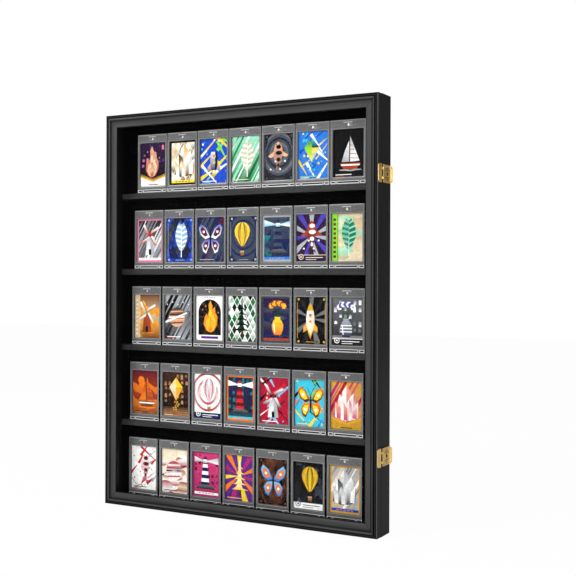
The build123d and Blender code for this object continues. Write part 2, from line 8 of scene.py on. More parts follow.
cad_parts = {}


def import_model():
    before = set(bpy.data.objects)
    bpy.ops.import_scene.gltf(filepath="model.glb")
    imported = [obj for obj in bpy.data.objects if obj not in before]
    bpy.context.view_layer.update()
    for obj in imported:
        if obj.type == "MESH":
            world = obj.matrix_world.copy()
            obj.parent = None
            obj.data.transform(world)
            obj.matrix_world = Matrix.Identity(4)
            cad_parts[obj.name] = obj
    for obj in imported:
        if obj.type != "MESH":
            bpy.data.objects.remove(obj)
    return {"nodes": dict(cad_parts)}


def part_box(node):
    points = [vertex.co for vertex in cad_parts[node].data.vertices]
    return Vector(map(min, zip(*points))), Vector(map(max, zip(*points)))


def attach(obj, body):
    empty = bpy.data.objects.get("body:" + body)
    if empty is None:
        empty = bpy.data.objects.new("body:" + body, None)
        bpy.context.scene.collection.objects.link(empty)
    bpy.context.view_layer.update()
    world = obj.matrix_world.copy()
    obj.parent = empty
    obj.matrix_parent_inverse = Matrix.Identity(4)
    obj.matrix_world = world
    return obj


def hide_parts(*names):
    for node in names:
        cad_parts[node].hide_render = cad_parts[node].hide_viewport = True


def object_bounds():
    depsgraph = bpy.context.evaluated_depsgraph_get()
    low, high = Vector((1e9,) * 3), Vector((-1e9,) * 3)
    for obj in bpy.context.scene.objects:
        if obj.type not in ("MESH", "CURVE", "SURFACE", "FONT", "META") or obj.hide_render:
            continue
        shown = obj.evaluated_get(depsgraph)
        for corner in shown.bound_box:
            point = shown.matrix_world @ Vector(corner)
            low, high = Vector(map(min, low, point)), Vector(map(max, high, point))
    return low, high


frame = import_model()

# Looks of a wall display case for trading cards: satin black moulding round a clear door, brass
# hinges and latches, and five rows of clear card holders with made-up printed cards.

cad_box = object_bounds()
nodes = frame["nodes"]
scene = bpy.context.scene
MM = 0.001

# ---------------------------------------------------------------- node trees


class Shader:
    """One material, with short calls that add nodes to it."""

    def __init__(self, name):
        self.material = bpy.data.materials.new(name)
        self.material.use_nodes = True
        self.tree = self.material.node_tree
        self.tree.nodes.clear()
        self.surface = self.node("ShaderNodeBsdfPrincipled")
        self.output = self.node("ShaderNodeOutputMaterial")
        self.tree.links.new(self.surface.outputs[0], self.output.inputs["Surface"])

    def node(self, kind, inputs=(), **settings):
        made = self.tree.nodes.new(kind)
        for key, value in settings.items():
            setattr(made, key, value)
        for key, value in dict(inputs).items():
            self.put(made.inputs[key], value)
        return made

    def put(self, socket, value):
        """Links a socket to value if value is another socket, otherwise sets it."""
        if isinstance(value, bpy.types.NodeSocket):
            self.tree.links.new(value, socket)
        elif socket.type == "RGBA":
            socket.default_value = (*value, 1.0)
        else:
            socket.default_value = value

    def set(self, **values):
        """Sets the surface shader's sockets, named with _ for a space."""
        for key, value in values.items():
            self.put(self.surface.inputs[key.replace("_", " ")], value)

    def math(self, operation, a, b=0.0, c=0.0):
        return self.node("ShaderNodeMath", {0: a, 1: b, 2: c}, operation=operation).outputs[0]

    def away(self, a, b):
        """How far apart two values are."""
        return self.math("ABSOLUTE", self.math("SUBTRACT", a, b))

    def axes(self, place):
        return self.node("ShaderNodeSeparateXYZ", {0: place}).outputs

    def vector(self, operation, first, second=None):
        inputs = {0: first} if second is None else {0: first, 1: second}
        return self.node("ShaderNodeVectorMath", inputs, operation=operation)

    def mix(self, factor, low, high, blend="MIX"):
        made = self.node("ShaderNodeMix", data_type="RGBA", blend_type=blend)
        self.put(made.inputs[0], factor)
        self.put(made.inputs[6], low)
        self.put(made.inputs[7], high)
        return made.outputs[2]

    def spread(self, value, low, high, out_low=0.0, out_high=1.0):
        """Maps value from low..high to out_low..out_high, and clamps it there."""
        inputs = {
            "Value": value, "From Min": low, "From Max": high, "To Min": out_low, "To Max": out_high
        }
        return self.node("ShaderNodeMapRange", inputs).outputs[0]

    def ramp(self, value, stops):
        """A grey that follows value through stops, each a place from 0 to 1 and a level there."""
        made = self.node("ShaderNodeValToRGB", {0: value})
        elements = made.color_ramp.elements
        while len(elements) < len(stops):
            elements.new(0.5)
        for element, (spot, level) in zip(elements, stops):
            element.position = spot
            element.color = (level, level, level, 1.0)
        return made.outputs[0]

    def place(self):
        """Where a point is on the object, in metres."""
        return self.node("ShaderNodeTexCoord").outputs["Object"]

    def noise(self, vector, scale, detail=4.0, roughness=0.55, stretch=None):
        if stretch:
            vector = self.node("ShaderNodeMapping", {"Vector": vector, "Scale": stretch}).outputs[0]
        inputs = {"Vector": vector, "Scale": scale, "Detail": detail, "Roughness": roughness}
        return self.node("ShaderNodeTexNoise", inputs).outputs[0]

    def bump(self, height, strength, distance, rounding=0.0):
        """Surface relief, with edges rounded by the rounding radius where the mesh is sharp."""
        made = self.node(
            "ShaderNodeBump", {"Height": height, "Strength": strength, "Distance": distance}
        )
        if rounding:
            edge = self.node("ShaderNodeBevel", {"Radius": rounding}, samples=4)
            self.put(made.inputs["Normal"], edge.outputs[0])
        self.set(Normal=made.outputs[0])


def grey(level):
    return (level, level, level)


def srgb(red, green, blue):
    """A linear colour from its 8-bit screen values."""
    return tuple(((value / 255 + 0.055) / 1.055) ** 2.4 for value in (red, green, blue))


# ---------------------------------------------------------------- case materials
ALONG_Z = (1.0, 1.0, 0.03)
ALONG_X = (0.03, 1.0, 1.0)

# Tone of the paint across the door's moulding: how far in from the edge in mm, and how pale.
# The pale stretches are painted highlights, and the deep black quirk, groove and lip are painted shade.
MOULDING_LIGHT_AND_SHADE_TONES = (
    (0.0, 0.008), (0.1, 0.006), (1.6, 0.006), (1.9, 0.001), (2.5, 0.001), (2.8, 0.011), (4.6, 0.011),
    (5.0, 0.0005), (6.2, 0.0005), (6.6, 0.048), (9.8, 0.048), (10.6, 0.014), (13.2, 0.014), (14.0, 0.028),
    (18.0, 0.037), (24.2, 0.050), (24.9, 0.003), (26.0, 0.003),
)
# The same across the stile on the latch side, with its own painted highlights, as lit from the right
LATCH_SIDE_LIGHT_AND_SHADE_TONES = (
    (0.0, 0.008), (0.1, 0.060), (2.0, 0.060), (2.2, 0.003), (3.9, 0.004), (4.2, 0.034), (5.8, 0.034),
    (6.2, 0.0005), (7.7, 0.0005), (8.2, 0.020), (9.4, 0.044), (11.6, 0.044), (12.0, 0.020), (13.6, 0.020),
    (14.2, 0.044), (24.2, 0.038), (24.9, 0.003), (26.0, 0.003),
)
MOULDING_WIDTH = 26.0
MOULDING_DEPTH = 6.4                  # how deep its relief goes behind the door's front
OUTER_TONE = 0.006                    # paint on the sides, top and bottom
SHELF_FRONT_LIT_TONE = 0.031                    # and on the front edges of the shelves, paler there as painted light
INNER_SHADE_TONE = 0.0006                   # paint inside the case, darker there as painted shade


def black_paint(name, grain, outer=OUTER_TONE, moulding=False):
    """Satin black paint over a fine grain, with painted highlights and painted shade on moulding and inside.
    """
    s = Shader(name)
    place = s.place()
    x, y, z = s.axes(place)
    fibres = s.noise(place, 620.0, 6.0, 0.62, stretch=grain)
    streaks = s.noise(place, 210.0, 3.0, stretch=grain)
    cloud = s.noise(place, 6.0, 3.0)
    dust = s.noise(place, 2600.0, 2.0)
    if moulding:
        door_front, door_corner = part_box("door_stile_left")[0].y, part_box("door_stile_right")[1]
        across = s.math("SUBTRACT", door_corner.x, s.math("ABSOLUTE", x))
        up = s.math("SUBTRACT", door_corner.z, s.math("ABSOLUTE", z))
        inward = s.math("DIVIDE", s.math("MINIMUM", across, up), MOULDING_WIDTH * MM)
        # Painted highlights and painted shade across the moulding, by how far in from its edge a point lies
        common, latch_side_lit = [
            s.ramp(inward, [(u / MOULDING_WIDTH, value) for u, value in tones])
            for tones in (MOULDING_LIGHT_AND_SHADE_TONES, LATCH_SIDE_LIGHT_AND_SHADE_TONES)
        ]
        # The stile on the latch side takes the second set of painted highlights and shade, lit from the
        # right
        stile = s.math("LESS_THAN", s.math("SUBTRACT", door_corner.x, x), up)
        tone = s.mix(stile, common, latch_side_lit)
        mitre = s.away(across, up)
        tone = s.mix(s.spread(mitre, 0.3 * MM, 0.7 * MM, 0.8, 0.0), tone, grey(0.001))
        front = s.math("LESS_THAN", y, door_front + MOULDING_DEPTH * MM)
    else:
        # Inside the case, behind the shelves' front edges, the paint is darkened as painted shade
        tone = grey(INNER_SHADE_TONE)
        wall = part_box("side_board_right")[0].x
        within = s.math("LESS_THAN", s.math("ABSOLUTE", x), wall + 0.5 * MM)
        behind = s.math("GREATER_THAN", y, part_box("shelf_1")[0].y + 0.3 * MM)
        front = s.math("MULTIPLY", within, behind)
    tone = s.mix(front, grey(outer), tone)
    level = s.math("MULTIPLY_ADD", cloud, 0.5, s.math("MULTIPLY", streaks, 0.5))
    shade = s.spread(level, 0.3, 0.7, 0.7, 1.3)
    scaled = s.node("ShaderNodeVectorMath", {0: tone, "Scale": shade}, operation="SCALE")
    s.set(Base_Color=scaled.outputs[0], Specular_IOR_Level=0.07)
    s.set(Roughness=s.spread(s.math("ADD", streaks, dust), 0.7, 1.3, 0.28, 0.42))
    relief = s.math("MULTIPLY_ADD", dust, 0.25, s.math("ADD", fibres, streaks))
    s.bump(relief, 0.14, 0.00007, 0.0004)
    return s.material


def back_board():
    """Bare dark hardboard, finely mottled."""
    s = Shader("back_board")
    place = s.place()
    speck = s.noise(place, 700.0, 6.0, 0.75)
    cloud = s.noise(place, 9.0, 3.0)
    s.set(Base_Color=s.mix(speck, (0.012, 0.011, 0.010), (0.045, 0.041, 0.037)))
    s.set(Roughness=s.spread(cloud, 0.3, 0.7, 0.62, 0.8))
    s.bump(speck, 0.2, 0.0002)
    return s.material


def felt():
    """Deep black felt with short tangled fibres."""
    s = Shader("black_felt")
    place = s.place()
    fibre = s.noise(place, 1500.0, 8.0, 0.8)
    patch = s.noise(place, 22.0, 3.0)
    s.set(Base_Color=s.mix(s.math("MULTIPLY", fibre, patch), grey(0.0004), grey(0.002)))
    s.set(Roughness=0.95, Specular_IOR_Level=0.02)
    s.bump(fibre, 0.2, 0.0002)
    return s.material


SEAM_Y = -41.7                        # the latches' hinge axis, in mm, as are the next ones
LATCH_LEVEL = 256.0
NIB_HOLE = 21.5                       # the tongue's hole, back from the axis
STAMPED_SHADE_LINES = (6.6, 10.0)           # painted shade lines across the tongue, either side of its middle
PLATE_KNUCKLE = (6.2, 8.6)            # from where to where along the axis, on both sides
TONGUE_KNUCKLE = (8.8, 11.2)


def brass():
    """Stamped, lacquered brass: warm, with faint brushing, darker patches and painted shade on the latches.
    """
    s = Shader("polished_brass")
    place = s.place()
    brush = s.noise(place, 2400.0, 4.0, stretch=(1.0, 1.0, 0.06))
    patch = s.noise(place, 90.0, 3.0)
    tarnish = s.spread(s.noise(place, 40.0, 3.0), 0.5, 0.75, 0.0, 0.6)
    clean = s.mix(patch, (0.80, 0.50, 0.15), (0.92, 0.68, 0.29))
    x, y, z = s.axes(place)
    back = s.math("SUBTRACT", y, SEAM_Y * MM)
    off = s.away(s.math("ABSOLUTE", z), LATCH_LEVEL * MM)
    past = s.math("SUBTRACT", back, NIB_HOLE * MM)
    from_hole = s.math("SQRT", s.math("ADD", s.math("POWER", past, 2.0), s.math("POWER", off, 2.0)))
    # Painted shade in and round the tongue's nib hole, along two lines across it, and in the fold by the
    # knuckles
    dark = s.spread(from_hole, 3.0 * MM, 4.2 * MM, 1.0, 0.0)
    for line in STAMPED_SHADE_LINES:
        groove_shade = s.spread(s.away(off, line * MM), 0.5 * MM, 1.3 * MM, 0.75, 0.0)
        dark = s.math("MAXIMUM", dark, groove_shade)
    on_leaf = s.spread(from_hole, 11.0 * MM, 13.0 * MM, 1.0, 0.0)
    fold_shade = s.spread(s.math("ABSOLUTE", back), 2.4 * MM, 3.6 * MM, 0.85, 0.0)
    fold_shade = s.math("MULTIPLY", fold_shade, s.spread(s.away(off, PLATE_KNUCKLE[1] * MM), 1.4 * MM, 2.4 * MM))
    dark = s.math("MAXIMUM", s.math("MULTIPLY", dark, on_leaf), fold_shade)
    dark = s.math("MULTIPLY", dark, s.math("GREATER_THAN", x, 0.0))
    aged = s.mix(tarnish, clean, (0.62, 0.34, 0.08))
    s.set(Base_Color=s.mix(dark, aged, (0.10, 0.045, 0.010)), Metallic=1.0)
    s.set(Roughness=s.spread(s.math("MULTIPLY_ADD", brush, 0.5, patch), 0.4, 1.0, 0.24, 0.34))
    s.bump(s.math("ADD", brush, patch), 0.05, 0.0001, 0.0003)
    return s.material


def steel():
    s = Shader("bright_steel")
    place = s.place()
    brush = s.noise(place, 2000.0, 4.0, stretch=(1.0, 1.0, 0.1))
    patch = s.noise(place, 300.0, 3.0)
    s.set(Base_Color=s.mix(patch, grey(0.72), grey(0.92)), Metallic=0.7)
    s.set(Roughness=s.spread(brush, 0.3, 0.7, 0.28, 0.45))
    s.bump(brush, 0.1, 0.00005, 0.0002)
    return s.material


def beech():
    s = Shader("beech")
    place = s.place()
    grain = s.noise(place, 500.0, 5.0, stretch=(0.1, 1.0, 1.0))
    s.set(Base_Color=s.mix(grain, (0.45, 0.27, 0.13), (0.66, 0.45, 0.25)))
    s.set(Roughness=s.spread(grain, 0.3, 0.7, 0.5, 0.7))
    s.bump(grain, 0.2, 0.0001)
    return s.material


def clear_panel():
    """The door's clear sheet: almost nothing but a trace of haze and dust."""
    s = Shader("clear_panel")
    place = s.place()
    haze = s.noise(place, 5.0, 3.0)
    dust = s.noise(place, 1400.0, 2.0)
    s.set(Base_Color=s.mix(haze, (0.02, 0.025, 0.028), grey(0.04)))
    s.set(Alpha=s.spread(haze, 0.3, 0.7, 0.006, 0.014))
    s.set(Roughness=s.spread(dust, 0.4, 0.8, 0.02, 0.10))
    s.bump(haze, 0.05, 0.0002)
    return s.material


def finish_nodes(names, material):
    for name in names:
        nodes[name].data.materials.clear()
        nodes[name].data.materials.append(material)


def named(*starts):
    return [name for name in nodes if name.startswith(starts)]


paint_upright = black_paint("black_paint_upright", ALONG_Z)
paint_level = black_paint("black_paint_level", ALONG_X)
# The shelves' front edges are painted paler as painted light
paint_shelf = black_paint("black_paint_shelf", ALONG_X, SHELF_FRONT_LIT_TONE)
moulding_upright = black_paint("black_moulding_upright", ALONG_Z, moulding=True)
moulding_level = black_paint("black_moulding_level", ALONG_X, moulding=True)
brass_material = brass()
steel_material = steel()
finish_nodes(named("side_board"), paint_upright)
finish_nodes(named("door_stile"), moulding_upright)
finish_nodes(named("door_rail"), moulding_level)
finish_nodes(["glazing_strip_left", "glazing_strip_right"], paint_upright)
finish_nodes(["top_board", "bottom_board"], paint_level)
finish_nodes(named("shelf_"), paint_shelf)
finish_nodes(["glazing_strip_top", "glazing_strip_bottom"], paint_level)
finish_nodes(["back_panel"], back_board())
finish_nodes(["felt_lining"], felt())
finish_nodes(["corner_dowels", "mitre_keys"], beech())
finish_nodes(["window_panel"], clear_panel())
finish_nodes(named("hinge_", "latch_"), brass_material)
finish_nodes(named("hanger_", "holder_magnets", "holder_keepers"), steel_material)


# ---------------------------------------------------------------- new pieces


def to_object(mesh_edit, name, material, smooth_angle=35.0):
    """Ends a bmesh as an object with one material and edges sharp above an angle."""
    bmesh.ops.recalc_face_normals(mesh_edit, faces=mesh_edit.faces[:])
    mesh = bpy.data.meshes.new(name)
    mesh_edit.to_mesh(mesh)
    mesh_edit.free()
    mesh.materials.append(material)
    for face in mesh.polygons:
        face.use_smooth = True
    mesh.set_sharp_from_angle(angle=math.radians(smooth_angle))
    return link(name, mesh)


def link(name, data):
    obj = bpy.data.objects.new(name, data)
    scene.collection.objects.link(obj)
    return obj


# ---------------------------------------------------------------- card holders
TIERS = 5
PER_TIER = 7
HOLDER_WIDTH = 72.6
HOLDER_HEIGHT = 122.0
HOLDER_CORNER = 2.0
CARD_WIDTH = 63.5
CARD_HEIGHT = 88.9
CARD_CORNER = 3.2
CARD_MIDDLE = 60.45                   # above the holder's foot, as are the next ones
WINDOW_MARGIN = 1.2
MAGNET_UP = 113.0
MAGNET_RADIUS = 2.6
NOTCH = (0.0, 113.6, 8.2, 3.6)        # middle x and z, half width and half height
FOOT_SLOTS = ((0.0, 6.2, 22.0, 1.8), (-30.2, 6.2, 4.3, 1.8), (30.2, 6.2, 4.3, 1.8))
WINDOW = (0.0, CARD_MIDDLE, CARD_WIDTH / 2 + WINDOW_MARGIN, CARD_HEIGHT / 2 + WINDOW_MARGIN)
CARD = (0.0, CARD_MIDDLE, CARD_WIDTH / 2, CARD_HEIGHT / 2)
CARD_PLAY = 0.3
POCKET = (0.0, CARD_MIDDLE, CARD_WIDTH / 2 + CARD_PLAY, CARD_HEIGHT / 2 + CARD_PLAY)
POCKET_DEPTH = 0.6
RECESS = 0.5
SIDE_SHADE = 0.8                      # how far in from each side the painted shade of the gap between two holders reaches
EDGE_ROUND = 0.22


def holder_plastic(name, front):
    """Smoky clear plastic with painted highlights along its edges and painted shade on its sides. The front
    half is clear over the card and over its magnet, and the slots in its foot are painted near black."""
    s = Shader(name)
    place = s.place()
    x, _, z = s.axes(place)

    def reach(box):
        """How far a point lies outside a box, in metres, and negative inside it."""
        middle_x, middle_z, half_x, half_z = (size * MM for size in box)
        across = s.math("SUBTRACT", s.away(x, middle_x), half_x)
        return s.math("MAXIMUM", across, s.math("SUBTRACT", s.away(z, middle_z), half_z))

    def line(distance, width):
        """1 on the edge that distance measures from, and 0 beyond width."""
        return s.spread(s.math("ABSOLUTE", distance), width * MM / 2, width * MM, 1.0, 0.0)

    cloud = s.noise(place, 40.0, 4.0)
    haze = s.noise(place, 300.0, 3.0)
    rim = reach((0.0, HOLDER_HEIGHT / 2, HOLDER_WIDTH / 2, HOLDER_HEIGHT / 2))
    # Painted highlights: a line just inside the rim, round the window, round the foot slots and on the
    # notch's upper edge
    bright = s.math("MULTIPLY", line(s.math("ADD", rim, SIDE_SHADE * MM), 0.9), 0.4)
    tint = s.mix(cloud, grey(0.078), (0.112, 0.113, 0.117))
    side = s.math("GREATER_THAN", s.math("ABSOLUTE", x), (HOLDER_WIDTH / 2 - SIDE_SHADE) * MM)
    if front:
        slots = reach(FOOT_SLOTS[0])
        for slot in FOOT_SLOTS[1:]:
            slots = s.math("MINIMUM", slots, reach(slot))
        from_magnet = s.vector("SUBTRACT", place, (0, 0, MAGNET_UP * MM)).outputs[0]
        flat = s.vector("MULTIPLY", from_magnet, (1, 0, 1)).outputs[0]
        radius = s.vector("LENGTH", flat).outputs["Value"]
        bright = s.math("MAXIMUM", bright, s.math("MULTIPLY", line(reach(WINDOW), 0.8), 0.3))
        outline = line(s.math("SUBTRACT", slots, 0.35 * MM), 0.75)
        bright = s.math("MAXIMUM", bright, s.math("MULTIPLY", outline, 1.5))
        upper = s.spread(z, (NOTCH[1] + NOTCH[3] / 2) * MM, (NOTCH[1] + NOTCH[3]) * MM)
        notch_highlight = s.math("MULTIPLY", line(reach(NOTCH), 0.9), upper)
        bright = s.math("MAXIMUM", bright, s.math("MULTIPLY", notch_highlight, 1.1))
        clear = s.math("LESS_THAN", reach(CARD), 0.0)
        clear = s.math("MAXIMUM", clear, s.math("LESS_THAN", radius, MAGNET_RADIUS * MM))
        # The foot slots are painted near black
        open_slot = s.math("LESS_THAN", slots, -0.1 * MM)
        tint = s.mix(open_slot, tint, grey(0.012))
        s.set(Alpha=s.spread(clear, 0.0, 1.0, 0.93, 0.02))
    else:
        s.set(Alpha=s.spread(haze, 0.3, 0.7, 0.86, 0.94))
    # Painted highlights over the plastic's tint, then painted shade on the sides
    shade = s.mix(s.math("MINIMUM", s.math("DIVIDE", bright, 1.5), 1.0), tint, grey(0.70))
    # The sides are painted near black as shade from the gap between two holders
    s.set(Base_Color=s.mix(side, shade, grey(0.006)))
    s.set(Roughness=s.spread(haze, 0.3, 0.7, 0.20, 0.30))
    s.bump(haze, 0.02, 0.0002)
    return s.material


def inside(box, x, z):
    middle_x, middle_z, half_x, half_z = box
    return abs(x - middle_x) < half_x and abs(z - middle_z) < half_z


def holder_half(name, material, face, back, sunk, depth):
    """One half of a holder from y = face to y = back, with sunk boxes let into its face."""
    reach_x = HOLDER_WIDTH / 2
    sides = [(b[0] - b[2], b[0] + b[2]) for b in sunk]
    ends = [(b[1] - b[3], b[1] + b[3]) for b in sunk]
    xs = sorted({-reach_x, reach_x, *(x for pair in sides for x in pair)})
    zs = sorted({0.0, HOLDER_HEIGHT, *(z for pair in ends for z in pair)})
    mesh = bmesh.new()
    corners = {}

    def corner(column, row, y):
        key = (column, row, round(y, 3))
        if key not in corners:
            corners[key] = mesh.verts.new((xs[column] * MM, y * MM, zs[row] * MM))
        return corners[key]

    def level(column, row):
        if not (0 <= column < len(xs) - 1 and 0 <= row < len(zs) - 1):
            return back
        x = (xs[column] + xs[column + 1]) / 2
        z = (zs[row] + zs[row + 1]) / 2
        return face + depth * any(inside(box, x, z) for box in sunk)

    for column in range(len(xs) - 1):
        for row in range(len(zs) - 1):
            around = ((column, row), (column + 1, row), (column + 1, row + 1), (column, row + 1))
            for y in (level(column, row), back):
                mesh.faces.new([corner(i, j, y) for i, j in around])
    for column in range(len(xs)):
        for row in range(len(zs)):
            walls = (((column - 1, row), (column, row), (column, row + 1)),
                     ((column, row - 1), (column, row), (column + 1, row)))
            for beside, here, end in walls:
                low, high = level(*beside), level(*here)
                if low != high and end[0] < len(xs) and end[1] < len(zs):
                    first, last = (column, row), end
                    mesh.faces.new([corner(*first, low), corner(*last, low),
                                    corner(*last, high), corner(*first, high)])
    bmesh.ops.recalc_face_normals(mesh, faces=mesh.faces[:])
    outer = [
        e for e in mesh.edges
        if all(abs(abs(v.co.x) - reach_x * MM) < 1e-6 for v in e.verts)
        and abs(e.verts[0].co.z - e.verts[1].co.z) < 1e-6
        and (e.verts[0].co.z < 1e-6 or e.verts[0].co.z > (HOLDER_HEIGHT - 0.001) * MM)
    ]
    bmesh.ops.bevel(mesh, geom=outer, offset=HOLDER_CORNER * MM, segments=4, profile=0.5,
                    affect="EDGES", clamp_overlap=True)
    sharp = [e for e in mesh.edges if e.is_manifold and e.calc_face_angle(0) > math.radians(60)]
    bmesh.ops.bevel(mesh, geom=sharp, offset=EDGE_ROUND * MM, segments=2, profile=0.6,
                    affect="EDGES", clamp_overlap=True)
    made = to_object(mesh, name, material)
    data = made.data
    bpy.data.objects.remove(made)
    return data


# Each holder's own origin is the middle of its foot, in the plane where its halves meet.
front_low, front_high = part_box("holder_fronts_row_1")
HALF = (front_high.y - front_low.y) / MM
front_mesh = holder_half(
    "holder_front", holder_plastic("holder_plastic_front", True), -HALF, 0.0,
    (WINDOW, NOTCH, *FOOT_SLOTS), RECESS,
)
back_mesh = holder_half(
    "holder_back", holder_plastic("holder_plastic_back", False), 0.0, HALF, (POCKET,), POCKET_DEPTH
)


def stand_for(obj, body, node):
    """Makes a new piece ride on a body, in a CAD node's place."""
    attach(obj, body)
    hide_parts(node)


# ---------------------------------------------------------------- card prints
# Colours as 8-bit screen values
INKS = {
    name: srgb(*value)
    for name, value in {
        "black": (8, 8, 10), "coal": (30, 30, 34), "slate": (62, 70, 84), "ash": (104, 106, 110),
        "silver": (168, 172, 178), "white": (250, 250, 247), "cream": (232, 216, 182),
        "beige": (206, 180, 140), "tan": (182, 132, 86), "sepia": (116, 66, 34), "cocoa": (58, 34, 24),
        "rust": (166, 62, 30), "red": (206, 34, 36), "crimson": (172, 18, 50), "maroon": (96, 20, 36),
        "rose": (204, 62, 112), "pink": (226, 120, 156), "magenta": (168, 40, 108),
        "purple": (92, 40, 128), "violet": (74, 66, 172), "plum": (44, 24, 58), "navy": (22, 32, 78),
        "royal": (26, 72, 190), "blue": (44, 118, 208), "sky": (122, 190, 230), "cyan": (60, 190, 214),
        "teal": (22, 124, 122), "green": (26, 124, 66), "forest": (16, 68, 42), "lime": (128, 208, 48),
        "mint": (150, 220, 186), "yellow": (246, 210, 40), "gold": (216, 164, 48),
        "mustard": (198, 150, 40), "orange": (236, 122, 28), "amber": (244, 164, 52),
        "peach": (232, 172, 136),
    }.items()
}
LAYER = 0.004                         # mm between one printed patch and the next one over it
PAPER_FACE = -0.46                    # print starts this far behind the plane between the halves
PAPER_BACK = -0.58


def oval(x, z, across, up, sides=26, turn=0.0):
    """The points of an ellipse, or with few sides of a regular polygon."""
    return [
        (x + across * math.cos(turn + k * math.tau / sides), z + up * math.sin(turn + k * math.tau / sides))
        for k in range(sides)
    ]


def box_points(left, low, right, high):
    return [(left, low), (right, low), (right, high), (left, high)]


def rounded_card():
    half_x, half_z = CARD_WIDTH / 2 - CARD_CORNER, CARD_HEIGHT / 2 - CARD_CORNER
    middles = ((half_x, half_z), (-half_x, half_z), (-half_x, -half_z), (half_x, -half_z))
    points = []
    for quarter, (x, z) in enumerate(middles):
        for step in range(6):
            angle = (quarter + step / 5) * math.pi / 2
            points.append((x + CARD_CORNER * math.cos(angle), z + CARD_CORNER * math.sin(angle)))
    return points


def clipped(points, window):
    """The part of an outline that lies inside a window with its points anticlockwise."""
    for (ax, az), (bx, bz) in zip(window, window[1:] + window[:1]):
        def side(point):
            return (bx - ax) * (point[1] - az) - (bz - az) * (point[0] - ax)
        kept = []
        for here, ahead in zip(points, points[1:] + points[:1]):
            now, then = side(here), side(ahead)
            if now >= 0:
                kept.append(here)
            if (now > 0 > then) or (now < 0 < then):
                share = now / (now - then)
                kept.append((here[0] + share * (ahead[0] - here[0]), here[1] + share * (ahead[1] - here[1])))
        points = kept
        if len(points) < 3:
            return []
    return points


class Print:
    """A card and the patches of ink on it, x across and z up from its middle in mm."""

    def __init__(self, seed):
        self.mesh = bmesh.new()
        self.inks = self.mesh.loops.layers.float_color.new("ink")
        self.random = random.Random(seed)
        self.depth = PAPER_FACE
        self.outline = rounded_card()
        self.place = (1.0, 0.0, 0.0)          # the motif's scale and middle
        self.body()

    def face(self, corners, low, high=None):
        face = self.mesh.faces.new(corners)
        levels = [v.co.z for v in corners]
        bottom, height = min(levels), max(max(levels) - min(levels), 1e-6)
        for loop in face.loops:
            share = (loop.vert.co.z - bottom) / height
            mixed = [a + (b - a) * share for a, b in zip(INKS[low], INKS[high or low])]
            loop[self.inks] = (*mixed, 1.0)

    def ring(self, points, y):
        return [self.mesh.verts.new((x * MM, -y * MM, z * MM)) for x, z in points]

    def body(self):
        """The white board under the print."""
        front = self.ring(self.outline, PAPER_FACE)
        back = self.ring(self.outline, PAPER_BACK)
        self.face(front, "white")
        self.face(back[::-1], "ash")
        for k in range(len(front)):
            after = (k + 1) % len(front)
            self.face([front[k], back[k], back[after], front[after]], "white")

    def patch(self, points, low, high=None):
        """A patch of ink over the ones before it, shaded from low at its foot to high."""
        points = clipped(points, self.outline)
        if points:
            self.depth += LAYER
            self.face(self.ring(points, self.depth), low, high)

    def block(self, left, low, right, high, *inks):
        self.patch(box_points(left, low, right, high), *inks)

    def fill(self, *inks):
        """A patch over the whole card."""
        self.block(-40, -50, 40, 50, *inks)

    def line(self, x0, z0, x1, z1, width, ink, taper=1.0):
        length = math.hypot(x1 - x0, z1 - z0)
        over_x, over_z = (z0 - z1) / length * width / 2, (x1 - x0) / length * width / 2
        self.patch([
            (x0 - over_x, z0 - over_z), (x1 - over_x * taper, z1 - over_z * taper),
            (x1 + over_x * taper, z1 + over_z * taper), (x0 + over_x, z0 + over_z),
        ], ink)

    def moved(self, points):
        scale, x, z = self.place
        return [(x + px * scale, z + pz * scale) for px, pz in points]

    def shape(self, points, *inks):
        """A patch of the motif."""
        self.patch(self.moved(points), *inks)

    def stroke(self, start, end, width, ink):
        """A line of the motif."""
        (x0, z0), (x1, z1) = self.moved((start, end))
        self.line(x0, z0, x1, z1, width * self.place[0], ink)


# Grounds: what fills the picture behind the motif


def burst(p, inks, x=0.0, z=4.0, count=22):
    p.fill(inks[0])
    for k in range(count):
        if k % 2:
            a, b = k * math.tau / count, (k + 0.9) * math.tau / count
            p.patch([(x, z), (x + 80 * math.cos(a), z + 80 * math.sin(a)),
                     (x + 80 * math.cos(b), z + 80 * math.sin(b))], inks[1 + k // 2 % (len(inks) - 1)])


def slants(p, inks, lean=0.6):
    p.fill(inks[0], inks[-1])
    x = -75.0
    while x < 60:
        wide = p.random.uniform(2, 11)
        ink, other = p.random.choice(inks), p.random.choice(inks)
        top = x + 100 * lean
        p.patch([(x, -50), (x + wide, -50), (x + wide * 0.7 + 100 * lean, 50), (top, 50)], ink, other)
        x += wide + p.random.uniform(0, 7)


def splash(p, inks):
    """Brushy diagonal strokes and drops of paint."""
    p.fill(inks[0])
    for k in range(15):
        x, z = p.random.uniform(-30, 30), p.random.uniform(-44, 44)
        turn = p.random.uniform(0.5, 1.1) * (1 if k % 3 else -1)
        reach = p.random.uniform(9, 26)
        p.line(x - reach * math.cos(turn), z - reach * math.sin(turn), x + reach * math.cos(turn),
               z + reach * math.sin(turn), p.random.uniform(2, 8), p.random.choice(inks[1:]), 0.25)
    for _ in range(16):
        size = p.random.uniform(0.6, 2.2)
        p.patch(oval(p.random.uniform(-30, 30), p.random.uniform(-43, 43), size, size * 1.2, 8),
                p.random.choice(inks[1:]))


def shards(p, inks):
    p.fill(inks[0], inks[1])
    for _ in range(22):
        x, z = p.random.uniform(-34, 34), p.random.uniform(-46, 46)
        turn = p.random.uniform(0, math.tau)
        size = p.random.uniform(6, 19)
        points = [(x + size * p.random.uniform(0.3, 1.0) * math.cos(turn + k * 2.1),
                   z + size * math.sin(turn + k * 2.1)) for k in range(3)]
        p.patch(points, p.random.choice(inks), p.random.choice(inks))


